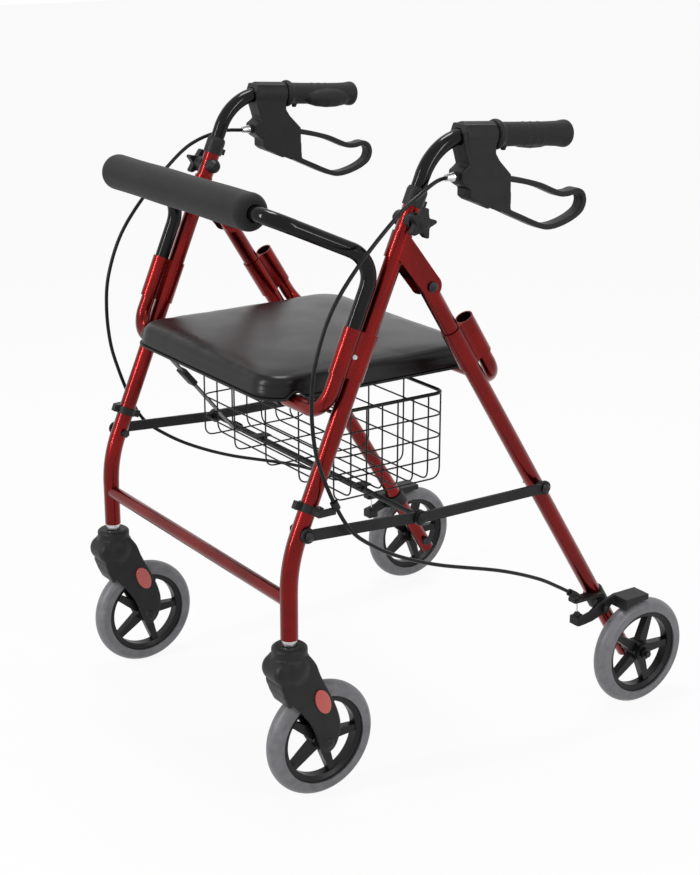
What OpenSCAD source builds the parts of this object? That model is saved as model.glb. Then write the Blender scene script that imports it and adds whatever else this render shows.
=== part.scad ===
// Rollator walker with four wheels, loop brakes, padded seat, backrest and wire basket.
// Millimetres, Z up, front of the walker towards -Y, floor at Z = 0.

/* [Wheels] */
// Wheel diameter over the tyre
wheel_d = 152.4; // [120:0.1:200]
// Tyre width
tyre_w = 24; // [18:0.5:30]
// Radial thickness of the tyre
tyre_t = 17.5; // [10:0.5:22]
// Number of spokes in each wheel
spokes = 5; // [3:1:9]
// Distance between front and rear axles
wheelbase = 508.4; // [440:0.1:560]
// Trail of the casters
trail = 43; // [35:0.5:55]
// Rear wheel middle, outwards from its leg
rear_out = 36; // [34:0.5:60]
// Diameter of the wheel axles
axle_d = 8; // [6:0.5:10]

/* [Frame] */
// Seat edge to the middle of the side frame
seat_side = 35; // [32:0.5:50]
// Leg tube diameter
leg_d = 22.2; // [21.8:0.1:26]
// Leg tube inside diameter
leg_bore = 19.6; // [19.4:0.1:20.2]
// Diameter of handle, seat and backrest tubes
tube_d = 19; // [17:0.1:19.1]
// Wall of those tubes
tube_wall = 1.5; // [1:0.1:3]
// Lean of the front legs
leg_rake = 23.05; // [20:0.05:26]
// Height where the front leg bends to vertical
bend_z = 319.5; // [300:0.5:330]
// Top of the front leg tube
leg_top_z = 748; // [742:0.5:756]
// Foot of the front leg tube
leg_foot_z = 222; // [216:0.5:240]
// Height of the crossbar between the front legs
crossbar_z = 271; // [262:0.5:280]
// Pivot bolt of the rear legs: place along the walker
pivot_y = -98; // [-104:0.5:-92]
// Pivot bolt of the rear legs: height
pivot_z = 636.5; // [630:0.5:645]
// Height of both seat tubes
seat_tube_z = 499; // [490:0.5:506]
// Spacing of the two bores in a sleeve
sleeve_gap = 24; // [23.2:0.1:27]
// Length of the sleeves
sleeve_len = 58; // [50:0.5:64]

/* [Handles] */
// Height of the corner of the handle tube at the lowest setting
grip_z = 815; // [808:0.5:830]
// Fall of the grip to the rear
grip_fall = 4; // [0:0.5:6]
// Distance between the height holes
hole_pitch = 25.4; // [20:0.1:26]
// Number of height holes
holes = 7; // [4:1:7]
// Grip diameter
grip_d = 30; // [27:0.5:33]
// Side width of the loop lever
lever_w = 18; // [14:0.5:20]
// Thickness of the loop of the lever
lever_t = 7; // [5:0.5:9]

/* [Seat and backrest] */
// Seat width
seat_w = 400; // [360:1:410]
// Seat front edge
seat_y0 = -286; // [-292:1:-276]
// Seat rear edge
seat_y1 = 36; // [30:1:44]
// Seat pad thickness at its edge
seat_t = 34; // [26:1:40]
// Crown of the seat pad
seat_crown = 8; // [3:0.5:12]
// Diameter of the backrest foam
pad_d = 46; // [36:1:52]
// Half length of the backrest foam
pad_half = 176; // [150:1:178]
// Height of the backrest foam
pad_z = 735.4; // [725:0.5:745]
// Place of the backrest foam along the walker
pad_y = -301.5; // [-310:0.5:-296]

/* [Basket] */
// Half width of the basket
basket_half = 176; // [150:1:180]
// Front of the basket
basket_y0 = -183; // [-184:1:-172]
// Rear of the basket
basket_y1 = -31; // [-44:1:-30]
// Floor of the basket
basket_z0 = 352; // [351.5:0.5:366]
// Rim of the basket
basket_z1 = 471; // [455:0.5:471.5]
// Wire thickness
wire = 2.4; // [1.8:0.1:3]
// Wire openings across the width
cells_x = 13; // [8:1:14]
// Wire openings along the depth
cells_y = 6; // [4:1:7]
// Wire openings up the sides
cells_z = 4; // [3:1:5]

/* [Shown piece] */
// Piece to draw, or all

/* [Hidden] */
$fn = 96;

// fits
gap = 0.1;
run = 0.08;
slack = 0.3;
eps = 0.5;
// a bend laps over the straight runs by this much, and stands proud by this step
lap = 1;
step = 0.15;

// colours
red = [0.5, 0.08, 0.09];
black = [0.1, 0.1, 0.1];
rubber = [0.42, 0.42, 0.44];
steel = [0.75, 0.76, 0.78];

// side frames
half_w = seat_w / 2 + seat_side;

// wheels
wheel_r = wheel_d / 2;
axle_f_y = -wheelbase / 2;
axle_r_y = wheelbase / 2;
stem_y = axle_f_y - trail;
rim_r = wheel_r - tyre_t;
rim_t = 8;
rim_w = tyre_w - 5;
boss_r = 14;
boss_w = tyre_w + 3;
spoke_root = 12;
spoke_tip = 8;
spoke_w = 11;
rear_x = half_w + rear_out;
axle_over = 4;

// legs
leg_r = leg_d / 2;
tube_r = tube_d / 2;
leg_bend = 180;
leg_up = [0, sin(leg_rake), cos(leg_rake)];
leg_front = [0, -cos(leg_rake), sin(leg_rake)];
rear_lean = atan2(axle_r_y - pivot_y, pivot_z - wheel_r);
rear_down = [0, sin(rear_lean), -cos(rear_lean)];
rear_back = [0, cos(rear_lean), sin(rear_lean)];
rear_len = norm([axle_r_y - pivot_y, pivot_z - wheel_r]);
crossbar_d = 18;

// sleeves and seat tubes
sleeve_rise = 89.6;
sleeve_top_z = seat_tube_z + sleeve_rise;
sleeve_bot_z = sleeve_top_z - sleeve_len * cos(leg_rake);
rear_sleeve_t = 72;
sleeve_wall = 1.8;
tube_bend = 32;
tube_in = 26;

// struts
strut_f_z = 357;
strut_m_y = -115;
strut_m_z = 346.5;
strut_r_t = (pivot_z - 345.5) / cos(rear_lean);
link_w = 14;
link_t = 3.6;
link_boss = 19;
link_x = half_w + leg_r + 2.8;
link_gap = 0.6;
rear_link_x = link_x + link_t + link_gap;
rod_d = 7;
bolt_d = 6;

// top bracket
sheet = 1.8;
bracket_top_z = pivot_z + 67.5;
bracket_bot_z = pivot_z + 37.5;
bracket_end_r = 14;
pivot_d = 8;

// handles
knob_z = 719;
knob_x = half_w + leg_r;
bolt_hole = bolt_d + 2 * slack;
handle_bend = 70;
handle_corner = [half_w, leg_y(grip_z), grip_z];
grip_dir = [0, cos(grip_fall), -sin(grip_fall)];
grip_start = 84;
grip_end = 200;
handle_low = leg_point(knob_z) - leg_up * (hole_pitch * (holes - 1) + 22);
collar_h = 19;
collar_d = leg_d + 3.4;

// brake housing and lever, drawn in the side view (y, z)
housing_w = lever_w + 9.2;
pivot_lever = [-6, 752];
cam_r_in = 11;
cam_pin = 6;
root_r = 21;
window_y = 19;
housing_side = [[-56, 816], [-52, 826], [-6, 822.5], [-6, 788], [0, 779], [5, 774], [18, 761], [19.5, 724], [3, 716],
  [-38, 733], [-44, 738], [-44, 748], [-52, 753], [-57, 758], [-57, 770], [-47, 777], [-53, 796]];
lever_path = [[6, 757], [26, 753], [48, 748], [70, 741.5], [90, 733], [104, 727.5], [118, 727], [131, 729],
  [140, 724], [142.5, 714], [138, 704], [126, 696.5], [110, 691], [94, 688], [80, 688.5], [62, 695], [42, 704],
  [22, 713], [4, 722]];

// backrest
back_rise = 85;
back_bend = 36;
back_corner_x = pad_half + 32;

// seat
seat_z = 511;
seat_hinge_y = front_corner()[1];
pan_t = 5;
seat_corner = 38;
clip_w = 30;

// casters
cap_d = 45;
fork_half = 21;
fork_slot = tyre_w / 2 + 2.5;
fork_top_z = 202;
stem_d = leg_bore - 2 * gap;
stem_pin = 12;

// brakes
brake_t = (pivot_z - 157) / cos(rear_lean);
brake_pivot = [200, 147];
brake_pin = 6;
shoe_gap = 2;

// cables: places on the route, near side
cable_d = 5;
cable_sides = 8;
cable_steps = 4;
cable_split = 11;
cable_route = [[-58, 763.5, 0], [-72, 763, 0], [-96, 762, 12], [-129, 751, 24], [-161, 731, 27], [-212, 683, 27],
  [-252, 632, 27], [-274, 577, 27], [-280, 530, 26], [-277, 481, 25], [-267, 441, 24], [-248, 393, 27],
  [-226, 356, 30], [-193, 329, 28], [-150, 304, 25], [-86, 277, 22], [14, 245, 19], [83, 216, 14], [124, 193, 10.5],
  [150, 176.8, 10]];

function leg_y(z) = stem_y + (z - bend_z) * tan(leg_rake);
function leg_point(z) = [half_w, leg_y(z), z];
function rear_point(t) = [half_w, pivot_y, pivot_z] + rear_down * t;
function front_bore(z) = leg_point(z) + leg_front * sleeve_gap;
function rear_bore(t) = rear_point(t) + rear_back * sleeve_gap;
function front_corner() = let (p = front_bore(sleeve_bot_z)) p - leg_up * ((p[2] - seat_tube_z) / cos(leg_rake));
function rear_corner() = let (p = rear_bore(rear_sleeve_t + sleeve_len))
  p + rear_down * ((p[2] - seat_tube_z) / cos(rear_lean));
function cable_point(i) = let (q = cable_route[i]) [half_w + q[2], q[0], q[1]];
function cable_dir(i) = unit(cable_point(i + 1) - cable_point(i - 1));
function cable_dir_end() = unit(cable_point(len(cable_route) - 1) - cable_point(len(cable_route) - 2));
function unit(v) = v / norm(v);
function flip(p) = [-p[0], p[1], p[2]];
function corner_turn(a, b, c) = 180 - acos(max(-1, min(1, unit(a - b) * unit(c - b))));
function corner_cut(a, b, c, r) = r * tan(corner_turn(a, b, c) / 2);
function smooth_open(p, k) = [for (i = [0 : len(p) - 2], j = [0 : k - 1]) let (n = len(p) - 1,
  a = p[max(0, i - 1)], b = p[i], c = p[i + 1], d = p[min(n, i + 2)], t = j / k) 0.5 * (2 * b + (c - a) * t
  + (2 * a - 5 * b + 4 * c - d) * t * t + (3 * b - a - 3 * c + d) * t * t * t)];
function side_normal(p, i) = let (n = len(p), d = unit(p[min(n - 1, i + 1)] - p[max(0, i - 1)])) [-d[1], d[0]];

// straight round bar from a to b
module bar(a, b, d) {
  v = b - a;
  translate(a)
    rotate([0, acos(v[2] / norm(v)), atan2(v[1], v[0])])
      cylinder(h = norm(v), d = d);
}

// one run of a bent bar along +Z, then its bend, then the next run
module bar_run(i, runs, turns, rolls, r, d, ext) {
  last = len(runs) - 1;
  below = i == 0 ? ext : 0;
  above = i == last ? ext : 0;
  translate([0, 0, -below])
    cylinder(h = runs[i] + below + above, d = d);
  if (i < last)
    translate([0, 0, runs[i]])
      rotate([0, 0, rolls[i]]) {
        translate([r, 0, 0])
          rotate([90, 0, 180])
            rotate([0, 0, -atan(lap / r)])
              rotate_extrude(angle = turns[i] + 2 * atan(lap / r))
                translate([r, 0])
                  circle(d = d + 2 * step);
        translate([r, 0, 0])
          rotate([0, turns[i], 0])
            translate([-r, 0, 0])
              bar_run(i + 1, runs, turns, rolls, r, d, ext);
      }
}

// round bar through a list of points, bent with radius r at each inner point
module bent_bar(p, r, d, ext = 0) {
  n = len(p) - 1;
  dirs = [for (i = [0 : n - 1]) unit(p[i + 1] - p[i])];
  turns = [for (i = [1 : 1 : n - 1]) corner_turn(p[i - 1], p[i], p[i + 1])];
  cuts = [for (t = turns) r * tan(t / 2)];
  runs = [for (i = [0 : n - 1]) norm(p[i + 1] - p[i]) - (i > 0 ? cuts[i - 1] : 0) - (i < n - 1 ? cuts[i] : 0)];
  ins = [for (i = [1 : 1 : n - 1]) unit(dirs[i] - (dirs[i] * dirs[i - 1]) * dirs[i - 1])];
  rolls = [for (i = [0 : 1 : n - 2]) i == 0 ? 0 : let (x = cos(turns[i - 1]) * ins[i - 1]
    - sin(turns[i - 1]) * dirs[i - 1]) atan2(cross(x, ins[i]) * dirs[i], x * ins[i])];
  z = dirs[0];
  x = n > 1 ? ins[0] : unit(cross(z, [1, 0, 0]));
  y = cross(z, x);
  flat = abs(x[2]) > 0.999999;
  turn_x = flat ? atan2(-x[2] * y[0], y[1]) : atan2(y[2], z[2]);
  turn_y = flat ? -90 * x[2] : asin(-x[2]);
  turn_z = flat ? 0 : atan2(x[1], x[0]);
  translate(p[0])
    rotate([turn_x, turn_y, turn_z])
      bar_run(0, runs, turns, rolls, r, d, ext);
}

// same, hollow
module bent_tube(p, r, d, inner) {
  difference() {
    bent_bar(p, r, d);
    bent_bar(p, r, inner, eps);
  }
}

// draws its children on the near side and mirrored on the far side
module both() {
  children();
  mirror([1, 0, 0]) children();
}

module side(s) {
  if (s > 0)
    children();
  else
    mirror([1, 0, 0]) children();
}

// plate in the side view, from x to x + t
module side_plate(x, t) {
  translate([x, 0, 0])
    rotate([90, 0, 90])
      linear_extrude(t)
        children();
}

module on_leg(z) {
  translate(leg_point(z))
    rotate([-leg_rake, 0, 0])
      children();
}

module on_rear(t) {
  translate(rear_point(t))
    rotate([rear_lean, 0, 0])
      children();
}

module cross_pin(x0, x1, yz, d) {
  translate([x0, yz[0], yz[1]])
    rotate([0, 90, 0])
      cylinder(h = x1 - x0, d = d);
}

module rounded_rect(x0, y0, x1, y1, r) {
  translate([x0 + r, y0]) square([x1 - x0 - 2 * r, y1 - y0]);
  translate([x0, y0 + r]) square([x1 - x0, y1 - y0 - 2 * r]);
  for (x = [x0 + r, x1 - r], y = [y0 + r, y1 - r])
    translate([x, y]) circle(r);
}

module slot_shape(length, w) {
  translate([-w / 2, -(length - w) / 2]) square([w, length - w]);
  for (e = [-1, 1])
    translate([0, e * (length - w) / 2]) circle(d = w);
}

// front legs and crossbar
module front_frame() {
  foot = [half_w, stem_y, leg_foot_z];
  corner = [half_w, stem_y, bend_z];
  color(red) {
    both()
      difference() {
        bent_tube([foot, corner, leg_point(leg_top_z)], leg_bend, leg_d, leg_bore);
        for (z = [knob_z])
          cross_pin(0, 2 * half_w, [leg_y(z), z], bolt_hole);
        cross_pin(0, 2 * half_w, [strut_f_y(), strut_f_z], bolt_d + 2 * gap);
      }
    difference() {
      cross_pin(-half_w, half_w, [stem_y, crossbar_z], crossbar_d);
      both()
        bar([half_w, stem_y, leg_foot_z], [half_w, stem_y, bend_z], leg_d - eps);
    }
  }
}

function strut_f_y() = leg_y(strut_f_z) + 2;

module bracket_side() {
  translate([pivot_y, pivot_z]) circle(bracket_end_r);
  a = [leg_y(bracket_top_z), bracket_top_z];
  b = [leg_y(bracket_bot_z), bracket_bot_z];
  p = [pivot_y, pivot_z];
  n0 = unit([p[1] - a[1], a[0] - p[0]]);
  n1 = unit([p[1] - b[1], b[0] - p[0]]);
  polygon([a, p - n0 * bracket_end_r, p, p + n1 * bracket_end_r, b]);
}

// folded sheet brackets that carry the rear legs
module top_brackets() {
  color(red)
    both()
      difference() {
        union() {
          bar(leg_point(bracket_bot_z), leg_point(bracket_top_z), leg_d + 2 * sheet + 4 * gap);
          side_plate(half_w - leg_r - sheet, leg_d + 2 * sheet) bracket_side();
        }
        bar(leg_point(bracket_bot_z - wheel_r), leg_point(bracket_top_z + wheel_r), leg_d + 2 * gap);
        translate([half_w, leg_y(bracket_bot_z), bracket_bot_z])
          rotate([-leg_rake, 0, 0])
            translate([-leg_r - 2 * gap, 0, -wheel_r])
              cube([leg_d + 4 * gap, wheel_r + trail, wheel_d + trail]);
        cross_pin(0, 2 * half_w, [pivot_y, pivot_z], pivot_d + 2 * gap);
      }
}

// twin-bore sleeve, leg bore at the origin, second bore towards +Y
module sleeve(length, fit) {
  difference() {
    union() {
      cylinder(h = length, d = leg_d + 2 * sleeve_wall);
      translate([0, sleeve_gap, 0]) cylinder(h = length, d = tube_d + 2 * slack + 2 * sleeve_wall);
      translate([-tube_r + sleeve_wall, 0, 0]) cube([tube_d - 2 * sleeve_wall, sleeve_gap, length]);
    }
    translate([0, 0, -eps]) cylinder(h = length + 2 * eps, d = leg_d + 2 * gap);
    translate([0, sleeve_gap, -eps]) cylinder(h = length + 2 * eps, d = tube_d + 2 * fit);
  }
}

module front_sleeves() {
  color(red)
    both()
      on_leg(sleeve_bot_z)
        rotate([0, 0, 180])
          sleeve(sleeve_len, slack);
}

// rear sleeves: the seat tube fills the lower bore, the upper bore stays open as a socket
module rear_sleeves() {
  color(red)
    both()
      on_rear(rear_sleeve_t + sleeve_len)
        difference() {
          sleeve(sleeve_len, gap);
          translate([0, sleeve_gap, tube_in + 2]) cylinder(h = sleeve_len, d = tube_d + 2 * slack);
        }
}

module front_seat_tube() {
  a = front_bore(sleeve_bot_z) + leg_up * tube_in;
  b = front_corner();
  color(red) bent_tube([a, b, flip(b), flip(a)], tube_bend, tube_d, tube_d - 2 * tube_wall);
}

module rear_seat_tube() {
  a = rear_bore(rear_sleeve_t + sleeve_len - tube_in);
  b = rear_corner();
  color(red) bent_tube([a, b, flip(b), flip(a)], tube_bend, tube_d, tube_d - 2 * tube_wall);
}

// plastic bushes on the leg tops
module leg_collars() {
  lip = 4;
  color(black)
    both()
      on_leg(leg_top_z)
        difference() {
          union() {
            translate([0, 0, lip - collar_h]) cylinder(h = collar_h, d = collar_d);
            translate([0, 0, lip]) cylinder(h = lip, d1 = collar_d, d2 = collar_d - 3);
            translate([-lip, 0, lip - collar_h + 3]) cube([2 * lip, collar_d / 2 + 4, lip * 2]);
          }
          translate([0, 0, -collar_h]) cylinder(h = collar_h + gap, d = leg_d + 2 * gap);
          translate([0, 0, -eps]) cylinder(h = collar_h, d = tube_d + 2 * slack);
        }
}

// plastic rings on the front legs, each with a hook that holds the brake cable
module cable_clips() {
  h = 10;
  z = strut_f_z + 24;
  top = leg_point(z + h / 2);
  eye = cable_point(cable_split);
  color(black)
    both()
      difference() {
        union() {
          on_leg(z) cylinder(h = h, d = leg_d + 4.8);
          on_leg(z) translate([-4, -leg_r - 10, 0]) cube([8, leg_r + 10, h]);
          on_leg(z) translate([-4, 0, 0]) cube([8, leg_r + 9, h]);
          translate([half_w, top[1] - 4, top[2] - 4]) cube([eye[0] - half_w + 2, 6, 8]);
          translate([eye[0] - 3, top[1] - 4, top[2] - 4]) cube([5, eye[1] - top[1] + 4, 8]);
          bar(eye + cable_dir(cable_split) * 5, eye - cable_dir(cable_split) * 5, cable_d + 5);
        }
        bar(leg_point(bend_z), leg_point(z + wheel_r), leg_d + 2 * gap);
        bar(eye + cable_dir(cable_split) * 20, eye - cable_dir(cable_split) * 20, cable_d + 2 * slack);
      }
}

module dome_head(d, h) {
  cylinder(h = h * 0.45, d = d);
  translate([0, 0, h * 0.45]) cylinder(h = h * 0.55, d1 = d, d2 = d * 0.55);
}

module nut(af, h) {
  cylinder(h = h, d = af / cos(30), $fn = 6);
}

// pivot bolts of the top brackets and the struts
module frame_bolts() {
  outer = half_w + leg_r + sheet + gap;
  color(steel)
    both() {
      cross_pin(2 * half_w - outer, outer, [pivot_y, pivot_z], pivot_d);
      translate([outer, pivot_y, pivot_z]) rotate([0, 90, 0]) dome_head(13, 5);
      translate([2 * half_w - outer, pivot_y, pivot_z]) rotate([0, -90, 0]) nut(13, 6);
      cross_pin(half_w - leg_r - step - gap, link_x + link_t + gap, [strut_f_y(), strut_f_z], bolt_d);
      translate([link_x + link_t + gap, strut_f_y(), strut_f_z]) rotate([0, 90, 0]) dome_head(12, 5);
      translate([half_w - leg_r - step - gap, strut_f_y(), strut_f_z]) rotate([0, -90, 0]) nut(10, 6);
    }
}

module strut_r_bolt() {
  p = rear_point(strut_r_t);
  yz = [p[1], p[2]];
  cross_pin(half_w - leg_r - gap, rear_link_x + link_t + gap, yz, bolt_d);
  translate([rear_link_x + link_t + gap, yz[0], yz[1]]) rotate([0, 90, 0]) dome_head(12, 5);
  translate([half_w - leg_r - gap, yz[0], yz[1]]) rotate([0, -90, 0]) nut(10, 6);
}

// saddle under each star knob and domed nut on the inner side
module knob_seats() {
  h = 6;
  color(black)
    both()
      difference() {
        union() {
          translate([knob_x - h, leg_y(knob_z), knob_z]) rotate([0, 90, 0]) cylinder(h = 2 * h, d = 21);
          translate([half_w - leg_r + h, leg_y(knob_z), knob_z]) rotate([0, -90, 0]) cylinder(h = 2 * h, d = 19);
          translate([half_w - leg_r - h, leg_y(knob_z), knob_z])
            rotate([0, -90, 0])
              cylinder(h = h, d1 = 19, d2 = 11);
        }
        bar(leg_point(bend_z), leg_point(leg_top_z + wheel_r), leg_d + 2 * gap);
        cross_pin(half_w - leg_r - 2 * h + 1, 2 * half_w, [leg_y(knob_z), knob_z], bolt_hole);
      }
}

// plated bushes in the foot of the front legs
module caster_stems() {
  color(steel)
    both()
      translate([half_w, stem_y, 0]) {
        translate([0, 0, fork_top_z + 13]) cylinder(h = leg_foot_z + 22 - fork_top_z - 13, d = stem_d);
        translate([0, 0, fork_top_z - 22]) cylinder(h = 36, d = stem_pin);
      }
}

module rear_legs() {
  over = 13;
  under = 20;
  p = rear_point(strut_r_t);
  color(red)
    both()
      difference() {
        bar(rear_point(-over), rear_point(rear_len + under), leg_d);
        bar(rear_point(-over - eps), rear_point(rear_len - 30), leg_bore);
        cross_pin(0, 2 * half_w, [pivot_y, pivot_z], pivot_d + 2 * gap);
        cross_pin(0, 2 * half_w, [p[1], p[2]], bolt_d + 2 * gap);
        cross_pin(0, 2 * half_w, [axle_r_y, wheel_r], axle_d + 2 * gap);
      }
}

module rear_axles() {
  outer = rear_x + boss_w / 2 + 1;
  nut_h = 5;
  color(steel)
    both() {
      strut_r_bolt();
      cross_pin(half_w - leg_r - gap, outer + nut_h + axle_over, [axle_r_y, wheel_r], axle_d);
      translate([outer, axle_r_y, wheel_r]) rotate([0, 90, 0]) nut(14, nut_h);
      translate([half_w - leg_r - gap, axle_r_y, wheel_r]) rotate([0, -90, 0]) nut(13, 6);
      translate([half_w + leg_r + gap, axle_r_y, wheel_r])
        rotate([0, 90, 0])
          difference() {
            cylinder(h = rear_out - leg_r - boss_w / 2 - 1, d = 16);
            translate([0, 0, -eps]) cylinder(h = rear_out, d = axle_d);
          }
    }
}

// flat link in the side view from p to q
module link_shape(p, q) {
  v = q - p;
  n = unit([-v[1], v[0]]) * link_w / 2;
  polygon([p + n, q + n, q - n, p - n]);
  for (e = [p, q])
    translate(e) circle(d = link_boss);
}

module front_links() {
  f = [strut_f_y(), strut_f_z];
  m = [strut_m_y, strut_m_z];
  color(black)
    both() {
      difference() {
        side_plate(link_x, link_t) link_shape(f, m);
        cross_pin(link_x - eps, link_x + link_t + eps, f, bolt_d + 2 * gap);
        cross_pin(link_x - eps, link_x + link_t + eps, m, rod_d + 2 * gap);
      }
      difference() {
        cross_pin(half_w + leg_r + step + gap, link_x, f, link_boss - 4);
        cross_pin(half_w, link_x + eps, f, bolt_d + 2 * gap);
        bar([half_w, stem_y, bend_z - wheel_r], [half_w, stem_y, bend_z], leg_d + 2 * gap);
      }
    }
}

module rear_links() {
  m = [strut_m_y, strut_m_z];
  p = rear_point(strut_r_t);
  r = [p[1], p[2]];
  color(black)
    both()
      difference() {
        union() {
          side_plate(rear_link_x, link_t) link_shape(m, r);
          cross_pin(half_w + leg_r + gap, rear_link_x, r, link_boss - 4);
          translate([rear_link_x + link_t, m[0], m[1]]) rotate([0, 90, 0]) dome_head(15, 5);
        }
        cross_pin(half_w, rear_link_x + link_t + eps, r, bolt_d + 2 * gap);
      }
}

module cross_rod() {
  m = [strut_m_y, strut_m_z];
  outer = link_x + link_t;
  color(black) {
    cross_pin(-outer, outer, m, rod_d);
    both()
      translate([link_x - gap, m[0], m[1]]) rotate([0, -90, 0]) cylinder(h = 4, d = 14);
  }
}

// webbing stay from the front seat tube to the cross rod, on the far side
module stay_strap() {
  w = 20;
  t = 2.2;
  x = tube_bend + 1 + w / 2 - half_w;
  c = front_corner();
  a = [c[1], c[2]];
  b = [strut_m_y, strut_m_z];
  n = unit([a[1] - b[1], b[0] - a[0]]);
  lift = tube_r - rod_d / 2;
  color(black)
    difference() {
      union() {
        side_plate(x - w / 2, w) {
          translate(a) circle(tube_r + t + gap);
          translate(b) circle(rod_d / 2 + t + gap);
          polygon([a - n * (tube_r + t + gap), b - n * (rod_d / 2 + t + gap), b, a - n * tube_r * 0.4]);
        }
        side_plate(x + w / 2 - 2, 8)
          translate(b + (a - b) * 0.3 - n * (tube_r * 0.6)) circle(7);
      }
      cross_pin(-half_w, 0, a, tube_d + 2 * step + 2 * gap);
      cross_pin(-half_w, 0, b, rod_d + 2 * gap);
    }
}

// outline of the padded seat seen from above
module seat_plan(inset) {
  rounded_rect(-seat_w / 2 + inset, seat_y0 + inset, seat_w / 2 - inset, seat_y1 - inset, seat_corner - inset);
}

// crowned side view of a pad: half width a, edge height h, crown c
module pad_view(a, h, c, r) {
  big = (a * a + c * c) / (2 * c);
  intersection() {
    rounded_rect(-a, -r, a, h + c + r, 2 * r);
    translate([0, h + c - big]) circle(big, $fn = 720);
    translate([-a, 0]) square([2 * a, h + c]);
  }
}

module seat_pad() {
  depth = seat_y1 - seat_y0;
  mid = (seat_y1 + seat_y0) / 2;
  z = seat_z + pan_t + gap;
  r = 9;
  color(black)
    intersection() {
      translate([0, 0, z]) linear_extrude(seat_t + 2 * seat_crown) seat_plan(0);
      translate([0, seat_y0, z])
        rotate([90, 0, 0])
          translate([0, 0, -depth])
            linear_extrude(depth)
              pad_view(seat_w / 2, seat_t - pan_t, seat_crown, r);
      side_plate(-seat_w / 2, seat_w)
        translate([mid, z])
          pad_view(depth / 2, seat_t - pan_t, seat_crown, r);
    }
}

module seat_pan() {
  rib = 6;
  color(black) {
    translate([0, 0, seat_z]) linear_extrude(pan_t) seat_plan(6);
  }
}

module seat_clips() {
  c = front_corner();
  wall = 2;
  color(black)
    for (x = [-seat_w / 3, seat_w / 3])
      difference() {
        union() {
          cross_pin(x - clip_w / 2, x + clip_w / 2, [c[1], c[2]], tube_d + 2 * slack + 2 * wall);
          translate([x - clip_w / 2, c[1] - tube_r - wall, c[2]])
            cube([clip_w, tube_d + 2 * wall, seat_z - c[2] - gap]);
        }
        cross_pin(x - clip_w, x + clip_w, [c[1], c[2]], tube_d + 2 * run);
      }
  color(black)
    for (x = [-seat_w / 3, seat_w / 3])
      translate([x - clip_w / 2, rear_corner()[1] - 6, seat_tube_z + tube_r + slack])
        cube([clip_w, 12, seat_z - gap - seat_tube_z - tube_r - slack]);
}

// flat wire panel with na by nb openings
module wire_panel(a, b, na, nb) {
  pa = (a - wire) / na;
  pb = (b - wire) / nb;
  difference() {
    square([a, b]);
    for (i = [0 : na - 1], j = [0 : nb - 1])
      translate([wire + i * pa, wire + j * pb]) square([pa - wire, pb - wire]);
  }
}

module basket() {
  w = 2 * basket_half;
  depth = basket_y1 - basket_y0;
  h = basket_z1 - basket_z0;
  rim = 5;
  color(black) {
    translate([-basket_half, basket_y0, basket_z0]) {
      linear_extrude(wire) wire_panel(w, depth, cells_x, cells_y);
      for (y = [wire, depth])
        translate([0, y, 0]) rotate([90, 0, 0]) linear_extrude(wire) wire_panel(w, h, cells_x, cells_z);
      for (x = [0, w - wire])
        translate([x, 0, 0]) rotate([90, 0, 90]) linear_extrude(wire) wire_panel(depth, h, cells_y, cells_z);
    }
    both()
      bar([basket_half + rim / 2 - wire / 2, basket_y0 - 4, basket_z1],
        [basket_half + rim / 2 - wire / 2, basket_y1 + 18, basket_z1], rim);
    for (y = [basket_y0, basket_y1])
      bar([-basket_half, y, basket_z1], [basket_half, y, basket_z1], rim);
  }
}

// clips under the basket floor, open running fit on the cross rod
module basket_clips() {
  w = 16;
  t = 1.6;
  color(black)
    for (x = [-basket_half * 0.7, basket_half * 0.7])
      difference() {
        union() {
          cross_pin(x - w / 2, x + w / 2, [strut_m_y, strut_m_z], rod_d + 2 * run + 2 * t);
          translate([x - w / 2, strut_m_y - 12, basket_z0 - gap - 2]) cube([w, 24, 2]);
          translate([x - w / 2, strut_m_y - rod_d / 2 - t, strut_m_z])
            cube([w, rod_d + 2 * t, basket_z0 - gap - strut_m_z]);
        }
        cross_pin(x - w, x + w, [strut_m_y, strut_m_z], rod_d + 2 * run);
      }
}

module backrest_tube() {
  top = front_bore(sleeve_top_z);
  a = top - leg_up * tube_in;
  b = top + leg_up * back_rise;
  c = [back_corner_x, pad_y, pad_z];
  color(black) bent_tube([a, b, c, flip(c), flip(b), flip(a)], back_bend, tube_d, tube_d - 2 * tube_wall);
}

module backrest_pad() {
  r = 10;
  color(black)
    translate([-pad_half, pad_y, pad_z])
      rotate([0, 90, 0])
        rotate_extrude()
          difference() {
            union() {
              translate([0, r]) square([pad_d / 2, 2 * pad_half - 2 * r]);
              square([pad_d / 2 - r, 2 * pad_half]);
              for (y = [r, 2 * pad_half - r])
                translate([pad_d / 2 - r, y]) circle(r);
            }
            translate([-pad_d, -pad_d]) square([pad_d + tube_r + gap, 2 * pad_half + 2 * pad_d]);
          }
}

module handle_tube(s) {
  end = handle_corner + grip_dir * grip_end;
  color(black)
    side(s)
      difference() {
        bent_tube([handle_low, handle_corner, end], handle_bend, tube_d, tube_d - 2 * tube_wall);
        for (i = [0 : holes - 1]) {
          p = leg_point(knob_z) - leg_up * (hole_pitch * i);
          cross_pin(0, 2 * half_w, [p[1], p[2]], bolt_hole);
        }
      }
}

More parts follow.
